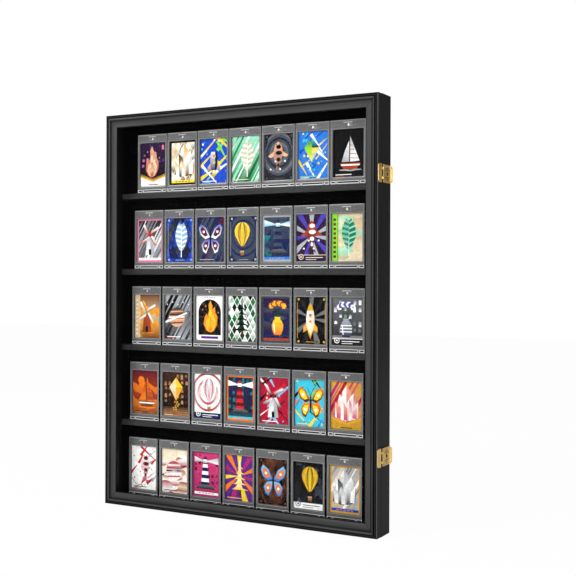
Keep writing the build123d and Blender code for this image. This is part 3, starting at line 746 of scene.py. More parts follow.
def valley(p, inks):
    """Sky, ridges one before another, and a lake with bright ripples."""
    p.block(-40, -10, 40, 50, inks[1], inks[0])
    p.patch(oval(p.random.uniform(-16, 16), 24, 8, 8), inks[2])
    for ridge in range(3):
        base = 12 - ridge * 13
        points = [(-40 + 80 * k / 11, base + p.random.uniform(-2, 13) - ridge * 2) for k in range(12)]
        low = inks[min(3 + ridge, len(inks) - 1)]
        p.patch([(-40, -50), (40, -50), *points[::-1]], low, inks[2 - ridge % 2])
    for k in range(9):
        z = -24 - k * 2.3
        x = p.random.uniform(-26, 20)
        p.patch(oval(x, z, p.random.uniform(4, 15), 0.5, 10), inks[2])


def arcade(p, inks):
    """Lit windows in a dark wall, with a bright ground line."""
    p.fill(inks[0], inks[1])
    for row in range(5):
        for column in range(6):
            if p.random.random() < 0.75:
                x, z = -28 + column * 10 + p.random.uniform(-1, 1), 38 - row * 13
                high = p.random.uniform(4, 9)
                p.patch([(x, z - high), (x + 5.5, z - high), (x + 5.5, z), (x + 2.7, z + 2), (x, z)],
                        p.random.choice(inks[1:]), p.random.choice(inks[1:]))
    p.block(-40, -50, 40, -26, inks[-1], inks[1])
    for k in range(5):
        p.line(-40, -28 - k * 4, 40, -30 - k * 4.6, 0.7, inks[0])


def rings(p, inks, x=0.0, z=6.0):
    p.fill(inks[0], inks[1])
    for k in range(9):
        p.patch(oval(x, z, 42 - k * 4.2, 46 - k * 4.6), inks[k % len(inks)], inks[(k + 1) % len(inks)])


def facets(p, inks):
    """A quilt of lozenges."""
    p.fill(inks[0])
    for row in range(9):
        for column in range(6):
            x, z = -30 + column * 12 + 6 * (row % 2), -44 + row * 11
            ink = p.random.choice(inks)
            p.patch([(x, z - 9), (x + 5.4, z), (x, z + 9), (x - 5.4, z)], ink, p.random.choice(inks))


def misty(p, inks):
    """A soft ground with faint drifting clouds."""
    p.fill(inks[0], inks[1])
    for _ in range(14):
        x, z = p.random.uniform(-30, 30), p.random.uniform(-44, 44)
        wide = p.random.uniform(7, 18)
        cloud = oval(x, z, wide, wide * p.random.uniform(0.25, 0.6), 18)
        p.patch(cloud, p.random.choice(inks), p.random.choice(inks))


# Motifs: things in the middle of the picture, about 56 mm high at scale 1, with their middle
# at the origin. Each takes three or four inks.


def mirrored(profile):
    """A closed outline from half a profile of (half width, height) points, foot first."""
    return profile + [(-x, z) for x, z in reversed(profile)]


def vase(p, inks):
    for k in range(7):
        lean = (k - 3) * 0.26
        top_x, top_z = 17 * math.sin(lean), 8 + 17 * math.cos(lean)
        p.stroke((0, -4), (top_x, top_z), 0.8, "forest")
        for petal in range(6):
            turn = petal * math.tau / 6
            centre = (top_x + 2.9 * math.cos(turn), top_z + 2.9 * math.sin(turn))
            p.shape(oval(*centre, 2.1, 2.1, 8), inks[k % 2])
        p.shape(oval(top_x, top_z, 1.7, 1.7, 10), inks[2])
    body = mirrored([(5, -28), (7, -27), (10, -19), (11, -12), (8, -5), (4.5, -1), (6, 2)])
    p.shape(body, inks[-1], inks[2])
    for level in (-20, -15, -10):
        wide = 10.4 if level < -11 else 9.6
        p.shape(box_points(-wide, level, wide, level + 1.6), inks[0])
    p.shape([(-6, -24), (-4.4, -24), (-6, -8), (-8, -10)], "white")


def boat(p, inks):
    p.shape([(0.8, -14), (17, -13), (11, 2), (0.8, 27)], inks[0], inks[1])
    p.shape([(-1, -14), (-14, -14), (-9, 2), (-1, 20)], inks[1], inks[0])
    for k in range(4):
        p.stroke((1, -8 + 7 * k), (15 - 3.6 * k, -9 + 7 * k), 0.9, inks[2])
    p.shape(box_points(-0.8, -17, 0.6, 29), "cocoa")
    p.shape([(-17, -16), (19, -16), (12, -26), (-11, -26)], inks[2], inks[-1])
    p.shape([(-16, -18), (18, -18), (17, -20.4), (-14.4, -20.4)], "white")
    for k in range(3):
        p.shape(oval(-10 + 11 * k, -27 - k % 2, 9, 1.1, 12), inks[1])


def balloon(p, inks):
    outline = mirrored([(2.4, -12), (8, -4), (13.5, 6), (15, 14), (12.5, 22), (7, 27), (2, 28.5)])
    p.shape(outline, inks[0])
    for k, share in enumerate((0.82, 0.62, 0.42, 0.20)):
        gore = [(px * share, pz) for px, pz in outline]
        p.shape(gore, inks[(k + 1) % len(inks)], inks[k % len(inks)])
    for side in (-1, 1):
        p.stroke((side * 2.2, -12), (side * 2.6, -21), 0.5, "cocoa")
    p.shape(box_points(-3.4, -28, 3.4, -20.5), "sepia", "tan")
    p.shape(box_points(-3.8, -21.4, 3.8, -20), "beige")


def crystal(p, inks):
    spires = ((0, 29, 8.5), (-9, 15, 6.5), (10, 18, 6.5), (-15, 2, 5), (16, 4, 5), (4, 8, 6), (-4, 2, 6))
    for k, (middle, top, half) in enumerate(spires):
        foot = -27 + abs(middle) * 0.3
        keel, peak, ridge = (middle * 1.1, foot - 1), (middle * 1.3, top), (middle * 1.25, top - 5)
        left = [(middle - half, foot), keel, ridge, peak, (middle - half * 0.8, top - 9)]
        right = [keel, (middle + half, foot), (middle + half, top - 9), peak, ridge]
        p.shape(left, inks[k % len(inks)], "white")
        p.shape(right, inks[(k + 1) % len(inks)], inks[(k + 2) % len(inks)])


def pine(p, inks):
    p.shape(box_points(-2.2, -29, 2.2, -16), "cocoa", "sepia")
    for k in range(5):
        foot, half = -20 + k * 9, 16 - k * 2.7
        tier = mirrored([(half, foot), (half * 0.55, foot + 4), (1, foot + 14)])
        p.shape(tier, inks[0], inks[1])
        p.shape([(0, foot + 14), (half * 0.9, foot + 0.6), (half * 0.3, foot + 3)], inks[2])


def planet(p, inks):
    p.shape([(-26, -8), (-24, -11), (26, 9), (24, 12)], inks[2], inks[0])
    p.shape(oval(0, 0, 17, 17, 34), inks[1], inks[0])
    for k in range(5):
        level = -10 + k * 5
        wide = math.sqrt(max(17 ** 2 - level ** 2, 1)) - 0.8
        p.shape([(-wide, level - 2), (wide, level), (wide, level + 1.8), (-wide, level + 0.4)],
                inks[k % len(inks)])
    p.shape([(-22, -7.4), (-20, -9.6), (22, 7), (20, 9)], "white", inks[2])
    for k in range(5):
        p.shape(oval(-20 + 11 * k, 22 + 4 * (k % 2), 1.3, 1.3, 4), "white")


def koi(p, inks):
    body = [(0, 26), (7, 19), (9, 8), (6, -6), (2, -15), (9, -28), (0, -22), (-9, -27), (-2, -14), (-8, -2),
            (-9, 9), (-6, 20)]
    p.shape([(8, 10), (19, 3), (15, 0), (8, 2)], inks[1])
    p.shape([(-8, 10), (-19, 2), (-14, -1), (-8, 2)], inks[1])
    p.shape(body, inks[0], inks[1])
    for level, half in ((17, 5), (7, 6.5), (-4, 4), (-13, 2)):
        p.shape(oval(half * 0.2, level, half, 3.6, 9), inks[2])
    for side in (-1, 1):
        p.shape(oval(side * 3.2, 21, 1.1, 1.1, 8), "black")
    for k in range(4):
        p.shape(oval(-14 + k * 9, -20 + 13 * (k % 2), 1.6, 1.6, 10), "white")


def tower(p, inks):
    """A striped lighthouse on a rock."""
    p.shape([(0, 20), (-30, 30), (-30, 17)], inks[2], "white")
    p.shape([(0, 20), (30, 28), (30, 15)], "white", inks[2])
    for k in range(6):
        low, high = -22 + k * 6.2, -22 + (k + 1) * 6.2
        wide = [8.5 - (level + 22) * 0.1 for level in (low, high)]
        band = [(-wide[0], low), (wide[0], low), (wide[1], high), (-wide[1], high)]
        p.shape(band, inks[k % 2])
    p.shape(box_points(-6, 15, 6, 17), "black")
    p.shape(box_points(-4, 17, 4, 23), inks[2], "white")
    p.shape([(-5.4, 23), (5.4, 23), (0, 29)], inks[0])
    p.shape([(-20, -28), (21, -28), (14, -22), (4, -20), (-9, -21)], "coal", "ash")


def butterfly(p, inks):
    for side in (-1, 1):
        upper = [(side * px, pz) for px, pz in ((1, 4), (9, 20), (19, 27), (24, 20), (20, 8), (10, 1))]
        lower = [(side * px, pz) for px, pz in ((1, 1), (12, -1), (18, -9), (15, -20), (9, -24), (3, -12))]
        for wing in (upper, lower):
            p.shape(wing, inks[0], inks[1])
            middle = (sum(px for px, _ in wing) / 6, sum(pz for _, pz in wing) / 6)
            inner = [(middle[0] + (px - middle[0]) * 0.66, middle[1] + (pz - middle[1]) * 0.66)
                     for px, pz in wing]
            p.shape(inner, inks[2], inks[-1])
            p.shape(oval(*middle, 2.4, 2.4, 10), "white")
    p.shape(oval(0, 0, 1.7, 15, 14), "black", "coal")
    for side in (-1, 1):
        p.stroke((0, 13), (side * 6, 25), 0.7, "black")


def kite(p, inks):
    corners = [(0, 29), (14, 12), (0, -12), (-14, 12)]
    for k in range(4):
        quarter = [(0, 12), corners[k], corners[(k + 1) % 4]]
        p.shape(quarter[::-1], inks[k % len(inks)], inks[(k + 1) % len(inks)])
    for k in range(5):
        bow_x, bow_z = 3.4 * math.sin(k * 1.4), -14 - k * 3.4
        p.shape([(bow_x, bow_z), (bow_x + 3.6, bow_z - 1.4), (bow_x + 3.6, bow_z + 1.6)], inks[0])
        p.shape([(bow_x, bow_z), (bow_x - 3.6, bow_z + 1.6), (bow_x - 3.6, bow_z - 1.4)], inks[1])


def rocket(p, inks):
    p.shape([(-5, -16), (5, -16), (2.4, -24), (0, -31), (-2.4, -24)], "red", "yellow")
    p.shape([(-2.4, -16), (2.4, -16), (0, -25)], "yellow", "white")
    for side in (-1, 1):
        fin = [(side * 5, -2), (side * 13, -11), (side * 13, -20), (side * 5, -15)]
        p.shape(fin, inks[1], inks[2])
    hull = mirrored([(5, -16), (7.2, -8), (7.6, 4), (6, 15), (3, 24), (0.4, 29)])
    p.shape(hull, inks[0], "white")
    p.shape([(1.5, -16), (5, -16), (7.2, -8), (7.6, 4), (6, 15), (3, 24), (2, 10)], inks[0])
    p.shape(mirrored([(5.9, 15.6), (3, 24), (0.4, 29)]), inks[1])
    for level, size in ((8, 3.4), (-2, 2.6)):
        p.shape(oval(0, level, size, size, 16), inks[2])
        p.shape(oval(0, level, size * 0.62, size * 0.62, 14), "sky", "navy")


def flame(p, inks):
    tongue = [(0, 30), (4, 20), (3, 14), (9, 19), (9, 11), (14, 2), (13, -12), (7, -22), (0, -25), (-8, -22),
              (-14, -11), (-12, 1), (-8, 8), (-7, 3), (-3, 12), (-4, 22)]
    for k, share in enumerate((1.0, 0.74, 0.50, 0.28)):
        points = [(px * share, (pz + 24) * share - 24) for px, pz in tongue]
        p.shape(points, inks[k % len(inks)], inks[(k + 1) % len(inks)])
    for k in range(6):
        p.shape(oval(-16 + 6.3 * k, 14 + 9 * math.sin(k * 2.4), 0.9, 1.4, 6), inks[1])


def feather(p, inks):
    for k in range(17):
        level = -20 + k * 2.7
        reach = 11.5 * math.sin(math.pi * (k + 2.4) / 21) + 1.5
        for side in (-1, 1):
            tip = side * reach
            barb = [(0, level), (tip, level + 4.4), (tip * 0.9, level + 7.2), (0, level + 3)]
            p.shape(barb, inks[(k + (side > 0)) % len(inks)], inks[(k + 1) % len(inks)])
    p.shape([(-0.9, -30), (0.9, -30), (0.2, 28), (-0.2, 28)], "white", inks[0])


def mill(p, inks):
    """A windmill with four sails."""
    p.shape([(-10, -28), (10, -28), (5.6, 5), (-5.6, 5)], inks[0], inks[1])
    p.shape([(1, -28), (10, -28), (5.6, 5), (1, 5)], inks[1])
    p.shape([(-7, 4), (7, 4), (4, 11), (-4, 11)], inks[2])
    p.shape(box_points(-2.6, -28, 2.6, -18), "black")
    for k in range(4):
        turn = 0.5 + k * math.tau / 4
        along, over = (math.cos(turn), math.sin(turn)), (-math.sin(turn), math.cos(turn))
        sail = [(6 + 7 * along[0] * a + over[0] * b - 6, 7 + 7 * along[1] * a + over[1] * b)
                for a, b in ((0.3, 0), (3.2, 0), (3.2, 5), (0.7, 5))]
        p.shape(sail, inks[2], "white")
        p.stroke((0, 7), (23 * along[0], 7 + 23 * along[1]), 1.1, inks[-1])


MOTIFS = {make.__name__: make for make in (
    vase, boat, balloon, crystal, pine, planet, koi, tower, butterfly, kite, rocket, flame, feather, mill,
)}
GROUNDS = {make.__name__: make for make in (
    burst, slants, splash, shards, valley, arcade, rings, facets, misty,
)}


# Frames: what lies over or round the picture


def plain_frame(p, inks):
    """Nothing round the picture, and a thin rule over its foot."""
    p.block(-27, -40.6, 6, -39.2, inks[0])
    p.block(-27, -43, -8, -41.8, inks[-1])


def border(p, inks, width=4.0):
    """A border all round, with a title strip at the foot."""
    for left, low, right, high in ((-32, -45, 32, -45 + width + 4), (-32, 45 - width, 32, 45),
                                   (-32, -45, -32 + width, 45), (32 - width, -45, 32, 45)):
        p.block(left, low, right, high, inks[0])
    p.block(-31.75 + width, -44.45 + width, 31.75 - width, -39.5 + width, inks[-1])
    for k in range(5):
        p.block(-18 + k * 7.4, -42.6 + width, -13 + k * 7.4, -41.2 + width, inks[0])


def chevron(p, inks):
    """A folded ribbon across the foot, over a pale base."""
    p.patch([(-32, -45), (32, -45), (32, -25), (0, -36), (-32, -25)], inks[-1])
    p.patch([(-32, -25), (0, -36), (32, -25), (32, -21), (0, -32), (-32, -21)], inks[0])
    p.patch([(-32, -19.6), (0, -30.6), (32, -19.6), (32, -18.8), (0, -29.8), (-32, -18.8)], inks[0])
    p.block(-12, -42, 12, -40.4, "coal")


def corners(p, inks):
    """Four cut corners joined by thin rules."""
    for side in (-1, 1):
        for up in (-1, 1):
            cut = [(side * 32, up * 45), (side * 14, up * 45), (side * 24, up * 36), (side * 27, up * 22),
                   (side * 32, up * 16)]
            p.patch(cut if side * up > 0 else cut[::-1], inks[0])
            p.patch(oval(side * 27, up * 40, 2.4, 2.4, 12), inks[-1])
        p.block(side * 29.4 - 0.5, -34, side * 29.4 + 0.5, 34, inks[-1])
    p.block(-13, -42.4, 13, -38.6, inks[0])
    p.block(-11, -41, 11, -40, inks[-1])


def banner(p, inks):
    """A broad strip at the foot with a round badge."""
    p.block(-32, -45, 32, -33, inks[0])
    p.block(-32, -33, 32, -32, inks[-1])
    p.patch(oval(-22, -36, 5.4, 5.4, 20), inks[-1])
    p.patch(oval(-22, -36, 4, 4, 20), inks[0])
    p.patch([(-24.6, -37.4), (-19.4, -37.4), (-22, -32.8)], inks[-1])
    p.block(-12, -38, 24, -36.6, inks[-1])
    p.block(-12, -41.6, 10, -40.6, inks[-1])


def arch(p, inks):
    """A border with a round-topped opening."""
    opening = [(26.4 * math.cos(k * math.pi / 14), 12 + 25 * math.sin(k * math.pi / 14)) for k in range(15)]
    for side in (-1, 1):
        half = [(px, pz) for px, pz in opening if px * side >= -1e-6]
        jamb = sorted(half, key=lambda point: point[0] * side)
        points = [(0, 46), *jamb, (side * 26.4, -46), (side * 33, -46), (side * 33, 46)]
        p.patch(points if side < 0 else points[::-1], inks[0])
    p.block(-32, -45, 32, -34, inks[0])
    p.block(-20, -41.4, 20, -36.6, inks[-1])
    for k in range(5):
        p.block(-12 + k * 5.2, 39.4, -8.6 + k * 5.2, 41, inks[-1])


def side_strip(p, inks):
    """A strip down the left side, with small squares in it."""
    p.block(-32, -45, -20, 45, inks[0])
    p.block(-20, -45, -19, 45, inks[-1])
    for k in range(9):
        p.block(-28.6, -38 + k * 8.6, -23.4, -33.4 + k * 8.6, inks[-1])


FRAMES = {
    "plain": plain_frame, "border": border, "chevron": chevron, "corners": corners, "banner": banner,
    "arch": arch, "strip": side_strip,
}

# One line a card, from the left in each row and from the top row down: the ground and its inks,
# the motif and its inks, the frame and its inks. Seven make a row.
CARDS = """
    arcade black plum purple pink / flame rust peach cream / chevron gold white
    facets cream beige black white / crystal coal white gold / border black yellow
    splash royal white cyan lime yellow / rocket navy royal yellow / plain white sky
    slants green white forest mint / feather white peach mint / plain cream green
    rings coal slate ash slate / koi slate peach black / corners coal slate
    splash blue white royal yellow cyan / kite navy cyan yellow lime / plain lime white
    misty black black black / boat white silver rust / plain white rust
    slants ash silver white coal / mill white silver red slate / border pink white
    facets coal royal slate navy / feather white silver sky / corners royal silver
    slants slate maroon slate navy / butterfly white royal maroon / plain silver slate
    rings slate navy slate / balloon yellow gold navy / corners navy silver
    shards navy slate teal / tower navy slate sky / border silver blue
    burst plum silver violet / koi coal rust white / banner plum cream
    misty cream beige mint / feather green mint teal / strip lime maroon
    valley sepia beige amber rust cocoa sepia / mill sepia rust beige cocoa / strip beige cream
    slants black ash coal silver / planet coal peach white / plain white red
    burst black coal cocoa / flame orange amber yellow / arch white purple
    facets white forest green black / pine black forest white / plain green crimson
    misty navy plum slate / vase amber rust yellow orange / border slate rust
    burst black ash coal / rocket cream gold amber / corners black gold
    arcade black ash white / vase white violet silver navy / banner coal white
    valley maroon rust orange rust maroon sepia / boat rust orange sepia / plain cocoa orange
    arcade black cocoa tan / kite yellow amber gold cream / plain rust cream
    rings white white crimson / balloon white rose silver / banner navy white
    arcade coal navy teal / tower red maroon white / border orange cyan
    splash crimson black white red sky / mill white silver black crimson / plain white red
    splash cyan blue yellow orange black lime / butterfly black orange yellow / plain yellow red
    slants rose crimson magenta gold / crystal white rose peach / chevron gold mustard
    splash white red silver crimson / koi crimson white maroon / plain coal red
    misty white cream crimson / planet crimson white black / plain navy red
    arcade magenta rose maroon / tower navy white silver / border magenta white
    burst purple orange magenta yellow / pine yellow white purple / plain yellow violet
    facets cocoa sepia black / butterfly blue sky orange / corners black sepia
    shards coal black slate / balloon mustard yellow coal / banner white slate
    slants beige ash white silver / crystal coal white silver / border mustard royal
""".strip().splitlines()


def card_ink():
    """Gloss print: the patches' own inks, made uneven and grainy as a printed photo is."""
    s = Shader("card_ink")
    place = s.place()
    ink = s.node("ShaderNodeVertexColor", layer_name="ink").outputs["Color"]
    tone = s.noise(place, 130.0, 5.0, 0.7)
    detail = s.noise(place, 900.0, 3.0, 0.7)
    broad, fine = s.spread(tone, 0.25, 0.7, 0.74, 1.14), s.spread(detail, 0.3, 0.7, 0.9, 1.12)
    shade = s.math("MULTIPLY", broad, fine)
    gray = s.node("ShaderNodeCombineColor", {0: shade, 1: shade, 2: shade}).outputs[0]
    s.set(Base_Color=s.mix(1.0, ink, gray, "MULTIPLY"))
    s.set(Roughness=s.spread(detail, 0.3, 0.7, 0.28, 0.40), Specular_IOR_Level=0.02)
    s.bump(detail, 0.03, 0.00005)
    return s.material


MOTIF_SCALE = 1.16
MOTIF_LIFT = 3.0                      # over frames that cover the foot
MOTIF_SHIFTS = (-3.0, 2.0, 0.0, 3.0, -2.0)


def print_card(number):
    """The card with this number, counted from 0 along the rows."""
    parts = [part.split() for part in CARDS[number].split("/")]
    (ground, *ground_inks), (motif, *motif_inks), (frame_kind, *frame_inks) = parts
    p = Print(number)
    GROUNDS[ground](p, ground_inks)
    lift = MOTIF_LIFT if frame_kind in ("border", "banner", "chevron") else 0.0
    p.place = (MOTIF_SCALE, MOTIF_SHIFTS[number % len(MOTIF_SHIFTS)], lift)
    MOTIFS[motif](p, motif_inks)
    FRAMES[frame_kind](p, frame_inks)
    return p.mesh


ink_material = card_ink()
for row in range(TIERS):
    front_low, front_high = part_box(f"holder_fronts_row_{row + 1}")
    pitch = ((front_high.x - front_low.x) - HOLDER_WIDTH * MM) / (PER_TIER - 1)
    for column in range(PER_TIER):
        x = front_low.x + HOLDER_WIDTH / 2 * MM + column * pitch
        tag = f"{row + 1}_{column + 1}"
        for half, data in (("front", front_mesh), ("back", back_mesh)):
            piece = link(f"holder_{half}_{tag}", data)
            piece.location = (x, front_high.y, front_low.z)
            stand_for(piece, "case", f"holder_{half}s_row_{row + 1}")
        card = to_object(print_card(row * PER_TIER + column), f"card_{tag}", ink_material)
        card.location = (x, front_high.y, front_low.z + CARD_MIDDLE * MM)
        stand_for(card, "case", f"cards_row_{row + 1}")


# ---------------------------------------------------------------- latches
# Sizes on the side face, in mm: u back from the seam, v up and w outwards.
SIDE_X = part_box("side_board_right")[1].x / MM
AXIS_W = 2.3
BARREL_RADIUS = 2.0
SHEET = 1.0
ROUND_STEPS = 8                       # points round each corner of a stamped sheet
PLATE_MIDDLE, PLATE_HALF_U, PLATE_HALF_V = -9.9, 6.8, 17.0
TONGUE_START, TONGUE_END, TONGUE_HALF_V = 2.9, 39.5, 16.5
LIP_START, LIP_END, LIP_RISE = 31.0, 40.5, 3.7
HOLE_TURN = 0.001                     # keeps the hole's points apart where two quarters meet


def rounded_box(middle, half_u, half_v, near, far):
    """A loop of points round a box whose corners are rounded by near at the hinge side and far
    at the free side."""
    points = []
    for quarter, (side, up) in enumerate(((1, 1), (-1, 1), (-1, -1), (1, -1))):
        radius = max(far if side > 0 else near, 0.15)
        for step in range(ROUND_STEPS):
            turn = (quarter + step / (ROUND_STEPS - 1)) * math.pi / 2
            points.append((middle + side * (half_u - radius) + radius * math.cos(turn),
                           up * (half_v - radius) + radius * math.sin(turn)))
    return points


def round_loop(middle, radius):
    """A circle with as many points as a rounded box, in the same order."""
    points = []
    for k in range(4 * ROUND_STEPS):
        quarter, step = divmod(k, ROUND_STEPS)
        turn = (quarter + step / (ROUND_STEPS - 1)) * math.pi / 2 + HOLE_TURN * k
        points.append((middle + radius * math.cos(turn), radius * math.sin(turn)))
    return points


def sweep_loops(mesh, loops, closed):
    """Joins loops of the same number of points with faces, and the last to the first if closed,
    otherwise caps both ends."""
    rings = [[mesh.verts.new(point) for point in loop] for loop in loops]
    pairs = list(zip(rings, rings[1:] + rings[:1])) if closed else list(zip(rings, rings[1:]))
    for ring, after in pairs:
        for k in range(len(ring)):
            ahead = (k + 1) % len(ring)
            mesh.faces.new([ring[k], ring[ahead], after[ahead], after[k]])
    if not closed:
        mesh.faces.new(rings[0][::-1])
        mesh.faces.new(rings[-1])


def on_side(u, v, w, level):
    return ((SIDE_X + w) * MM, (SEAM_Y + u) * MM, (level + v) * MM)


def barrel(mesh, level, low, high):
    """A knuckle of the latch from v = low to high, with rounded ends."""
    ease = 0.35
    loops = []
    for v, radius in ((low, BARREL_RADIUS - ease), (low + ease / 2, BARREL_RADIUS - ease * 0.2),
                      (low + ease, BARREL_RADIUS), (high - ease, BARREL_RADIUS),
                      (high - ease / 2, BARREL_RADIUS - ease * 0.2), (high, BARREL_RADIUS - ease)):
        loops.append([on_side(x, v, AXIS_W + z, level) for x, z in oval(0, 0, radius, radius, 24)])
    sweep_loops(mesh, loops, False)


def knuckles(mesh, level, reach, strap):
    """A knuckle on each side of the latch's middle, and the strap that joins it to its leaf."""
    for side in (-1, 1):
        ends = sorted(side * v for v in reach)
        barrel(mesh, level, *ends)
        sweep_loops(mesh, [[on_side(u, v, w, level) for u, w in strap] for v in ends], False)


def sheet_rise(u, start, end, rise):
    """A smooth rise in w from start to end along u."""
    share = min(max((u - start) / (end - start), 0.0), 1.0)
    return rise * share * share * (3 - 2 * share)


def latch_plate(level, name):
    """The leaf on the door: it swells towards the knuckles that it is rolled into."""
    mesh = bmesh.new()
    loops = []
    for inset, w in ((0.0, 0.0), (0.0, SHEET - 0.3), (0.3, SHEET), (1.2, SHEET + 0.05), (2.4, SHEET + 0.1),
                     (3.6, SHEET + 0.1), (5.0, SHEET + 0.1)):
        outline = rounded_box(PLATE_MIDDLE, PLATE_HALF_U - inset, PLATE_HALF_V - inset,
                              5.0 - inset * 0.6, 0.6)
        loops.append([on_side(u, v, w + (sheet_rise(u, -9.0, -3.2, 1.1) if w > 0.5 else 0.0), level)
                      for u, v in outline])
    sweep_loops(mesh, loops, False)
    knuckles(mesh, level, PLATE_KNUCKLE, [(-3.4, 0.4), (0.0, 0.5), (0.0, 2.2), (-3.4, 2.0)])
    return to_object(mesh, name, brass_material, 40.0)


def latch_tongue(level, name):
    """The moving leaf: a stamped tray with a raised rim, a hole for the catch's nib and a lip
    turned outwards for the finger."""
    low, high = AXIS_W - SHEET, AXIS_W
    middle, half_u = (TONGUE_START + TONGUE_END) / 2, (TONGUE_END - TONGUE_START) / 2

    def sheet_loop(inset, w):
        outline = rounded_box(middle, half_u - inset, TONGUE_HALF_V - inset,
                              max(1.2 - inset, 0.2), 7.0 - inset * 0.6)
        return [on_side(u, v, w + sheet_rise(u, LIP_START, LIP_END, LIP_RISE), level) for u, v in outline]

    def hole_loop(radius, w):
        return [on_side(u, v, w, level) for u, v in round_loop(NIB_HOLE, radius)]

    loops = [
        hole_loop(3.2, low), sheet_loop(6.0, low), sheet_loop(0.4, low), sheet_loop(0.0, low + 0.3),
        sheet_loop(0.0, high - 0.3), sheet_loop(0.3, high), sheet_loop(2.6, high),
        sheet_loop(3.0, high - 0.1), sheet_loop(3.5, high - 0.42), sheet_loop(4.0, high - 0.5),
        sheet_loop(6.6, high - 0.5), hole_loop(5.0, high - 0.45), hole_loop(4.0, high - 0.12),
        hole_loop(3.4, high - 0.12), hole_loop(3.2, high - 0.35),
    ]
    mesh = bmesh.new()
    sweep_loops(mesh, loops, True)
    knuckles(mesh, level, TONGUE_KNUCKLE, [(0.0, 1.4), (3.4, 1.4), (3.4, 2.3), (0.0, 2.4)])
    return to_object(mesh, name, brass_material, 40.0)


for place, level in (("upper", LATCH_LEVEL), ("lower", -LATCH_LEVEL)):
    leaf = latch_plate(level, f"latch_plate_{place}")
    stand_for(leaf, "door", f"latch_{place}_plate")
    leaf = latch_tongue(level, f"latch_tongue_{place}")
    stand_for(leaf, f"{place}_latch", f"latch_{place}_tongue")


# ---------------------------------------------------------------- floor, light and camera
IMAGE_SIZE = 576                      # pixels, the photograph's frame
CASE_FOOT = cad_box[0].z
FLOOR_SIZE = 12.0
FLOOR_GLOW = 0.97                     # how much of the floor is plain white to the camera
FRONT_GLOW = 0.60                     # how bright the studio is in front of the case, as a light
REAR_GLOW = 0.24                      # and behind it


def floor():
    half = FLOOR_SIZE / 2
    corners = [(x, y, CASE_FOOT) for x, y in box_points(-half, -half, half, half)]
    mesh = bpy.data.meshes.new("floor")
    mesh.from_pydata(corners, [], [(0, 1, 2, 3)])
    obj = link("floor", mesh)
    s = Shader("pale_floor")
    s.set(Base_Color=grey(0.92), Roughness=0.7, Specular_IOR_Level=0.1)
    path = s.node("ShaderNodeLightPath")
    glow = s.node("ShaderNodeEmission", {"Color": grey(1.0), "Strength": 1.0})
    seen = s.math("MULTIPLY", path.outputs["Is Camera Ray"], FLOOR_GLOW)
    blend = s.node("ShaderNodeMixShader", {0: seen, 1: s.surface.outputs[0], 2: glow.outputs[0]})
    s.tree.links.new(blend.outputs[0], s.output.inputs["Surface"])
    mesh.materials.append(s.material)


def world():
    """White where the camera sees it, and dimmer as a light on the object."""
    sky = bpy.data.worlds.new("studio")
    scene.world = sky
    sky.use_nodes = True
    tree = sky.node_tree
    tree.nodes.clear()
    path = tree.nodes.new("ShaderNodeLightPath")
    seen = tree.nodes.new("ShaderNodeMath")
    seen.operation = "MAXIMUM"
    tree.links.new(path.outputs["Is Camera Ray"], seen.inputs[0])
    tree.links.new(path.outputs["Is Transmission Ray"], seen.inputs[1])
    direction = tree.nodes.new("ShaderNodeSeparateXYZ")
    tree.links.new(tree.nodes.new("ShaderNodeTexCoord").outputs["Generated"], direction.inputs[0])
    glow = tree.nodes.new("ShaderNodeMapRange")
    for key, value in (("From Min", -0.5), ("From Max", 0.5), ("To Min", FRONT_GLOW), ("To Max", REAR_GLOW)):
        glow.inputs[key].default_value = value
    tree.links.new(direction.outputs[1], glow.inputs["Value"])
    level = tree.nodes.new("ShaderNodeMapRange")
    tree.links.new(seen.outputs[0], level.inputs["Value"])
    tree.links.new(glow.outputs[0], level.inputs["To Min"])
    back = tree.nodes.new("ShaderNodeBackground")
    back.inputs["Color"].default_value = (1.0, 1.0, 1.0, 1.0)
    tree.links.new(level.outputs[0], back.inputs["Strength"])
    out = tree.nodes.new("ShaderNodeOutputWorld")
    tree.links.new(back.outputs[0], out.inputs["Surface"])


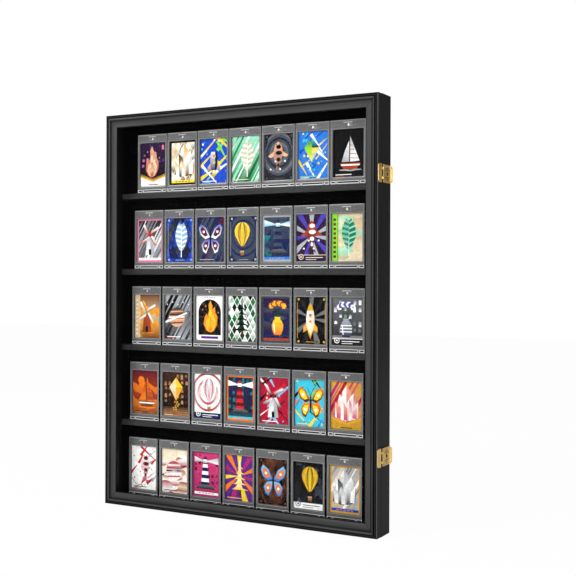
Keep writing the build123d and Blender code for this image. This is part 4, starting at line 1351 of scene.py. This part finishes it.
def soft_box(name, place, aim, size, watts):
    light = bpy.data.lights.new(name, "AREA")
    light.shape = "RECTANGLE"
    light.size, light.size_y = size
    light.energy = watts
    obj = link(name, light)
    obj.location = place
    obj.rotation_euler = (Vector(aim) - Vector(place)).to_track_quat("-Z", "Y").to_euler()


floor()
world()
soft_box("key_light", (-1.7, -2.4, 1.7), (0, 0, 0), (1.2, 1.2), 60.0)
soft_box("fill_light", (0.6, -3.2, 0.9), (0, 0, 0), (1.4, 1.4), 40.0)
soft_box("side_light", (-2.7, -1.3, 0.2), (0, 0, 0), (0.8, 1.8), 16.0)
soft_box("edge_light", (2.65, -1.41, 0.1), (0, 0, 0), (0.22, 2.4), 30.0)
soft_box("rear_light", (2.8, 0.75, 0.2), (0, 0, 0), (0.4, 2.0), 9.0)

# Camera, matched to the front corners of the case in the photograph
CAMERA_YAW = 28.1                     # degrees round to the right of the case
CAMERA_ROLL = 0.19
CAMERA_DISTANCE = 1.9651
CAMERA_ACROSS = 0.1087
CAMERA_UP = 0.0681
FOCAL_PIXELS = 1021.9
HORIZON_ROW = 277.2
SENSOR = 36.0


def camera():
    data = bpy.data.cameras.new("camera")
    data.sensor_width = SENSOR
    data.lens = FOCAL_PIXELS / IMAGE_SIZE * SENSOR
    data.shift_y = (HORIZON_ROW - IMAGE_SIZE / 2) / IMAGE_SIZE
    obj = link("camera", data)
    yaw = math.radians(CAMERA_YAW)
    forward = Vector((-math.sin(yaw), math.cos(yaw), 0))
    right = Vector((math.cos(yaw), math.sin(yaw), 0))
    front_middle = Vector((0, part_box("door_rail_top")[0].y, 0))
    obj.location = front_middle - forward * CAMERA_DISTANCE + right * CAMERA_ACROSS
    obj.location.z += CAMERA_UP
    turn = Matrix.Rotation(yaw, 3, "Z") @ Matrix.Rotation(math.radians(90), 3, "X")
    obj.rotation_euler = (turn @ Matrix.Rotation(math.radians(CAMERA_ROLL), 3, "Z")).to_euler()
    scene.camera = obj


camera()
scene.view_settings.view_transform = "Standard"
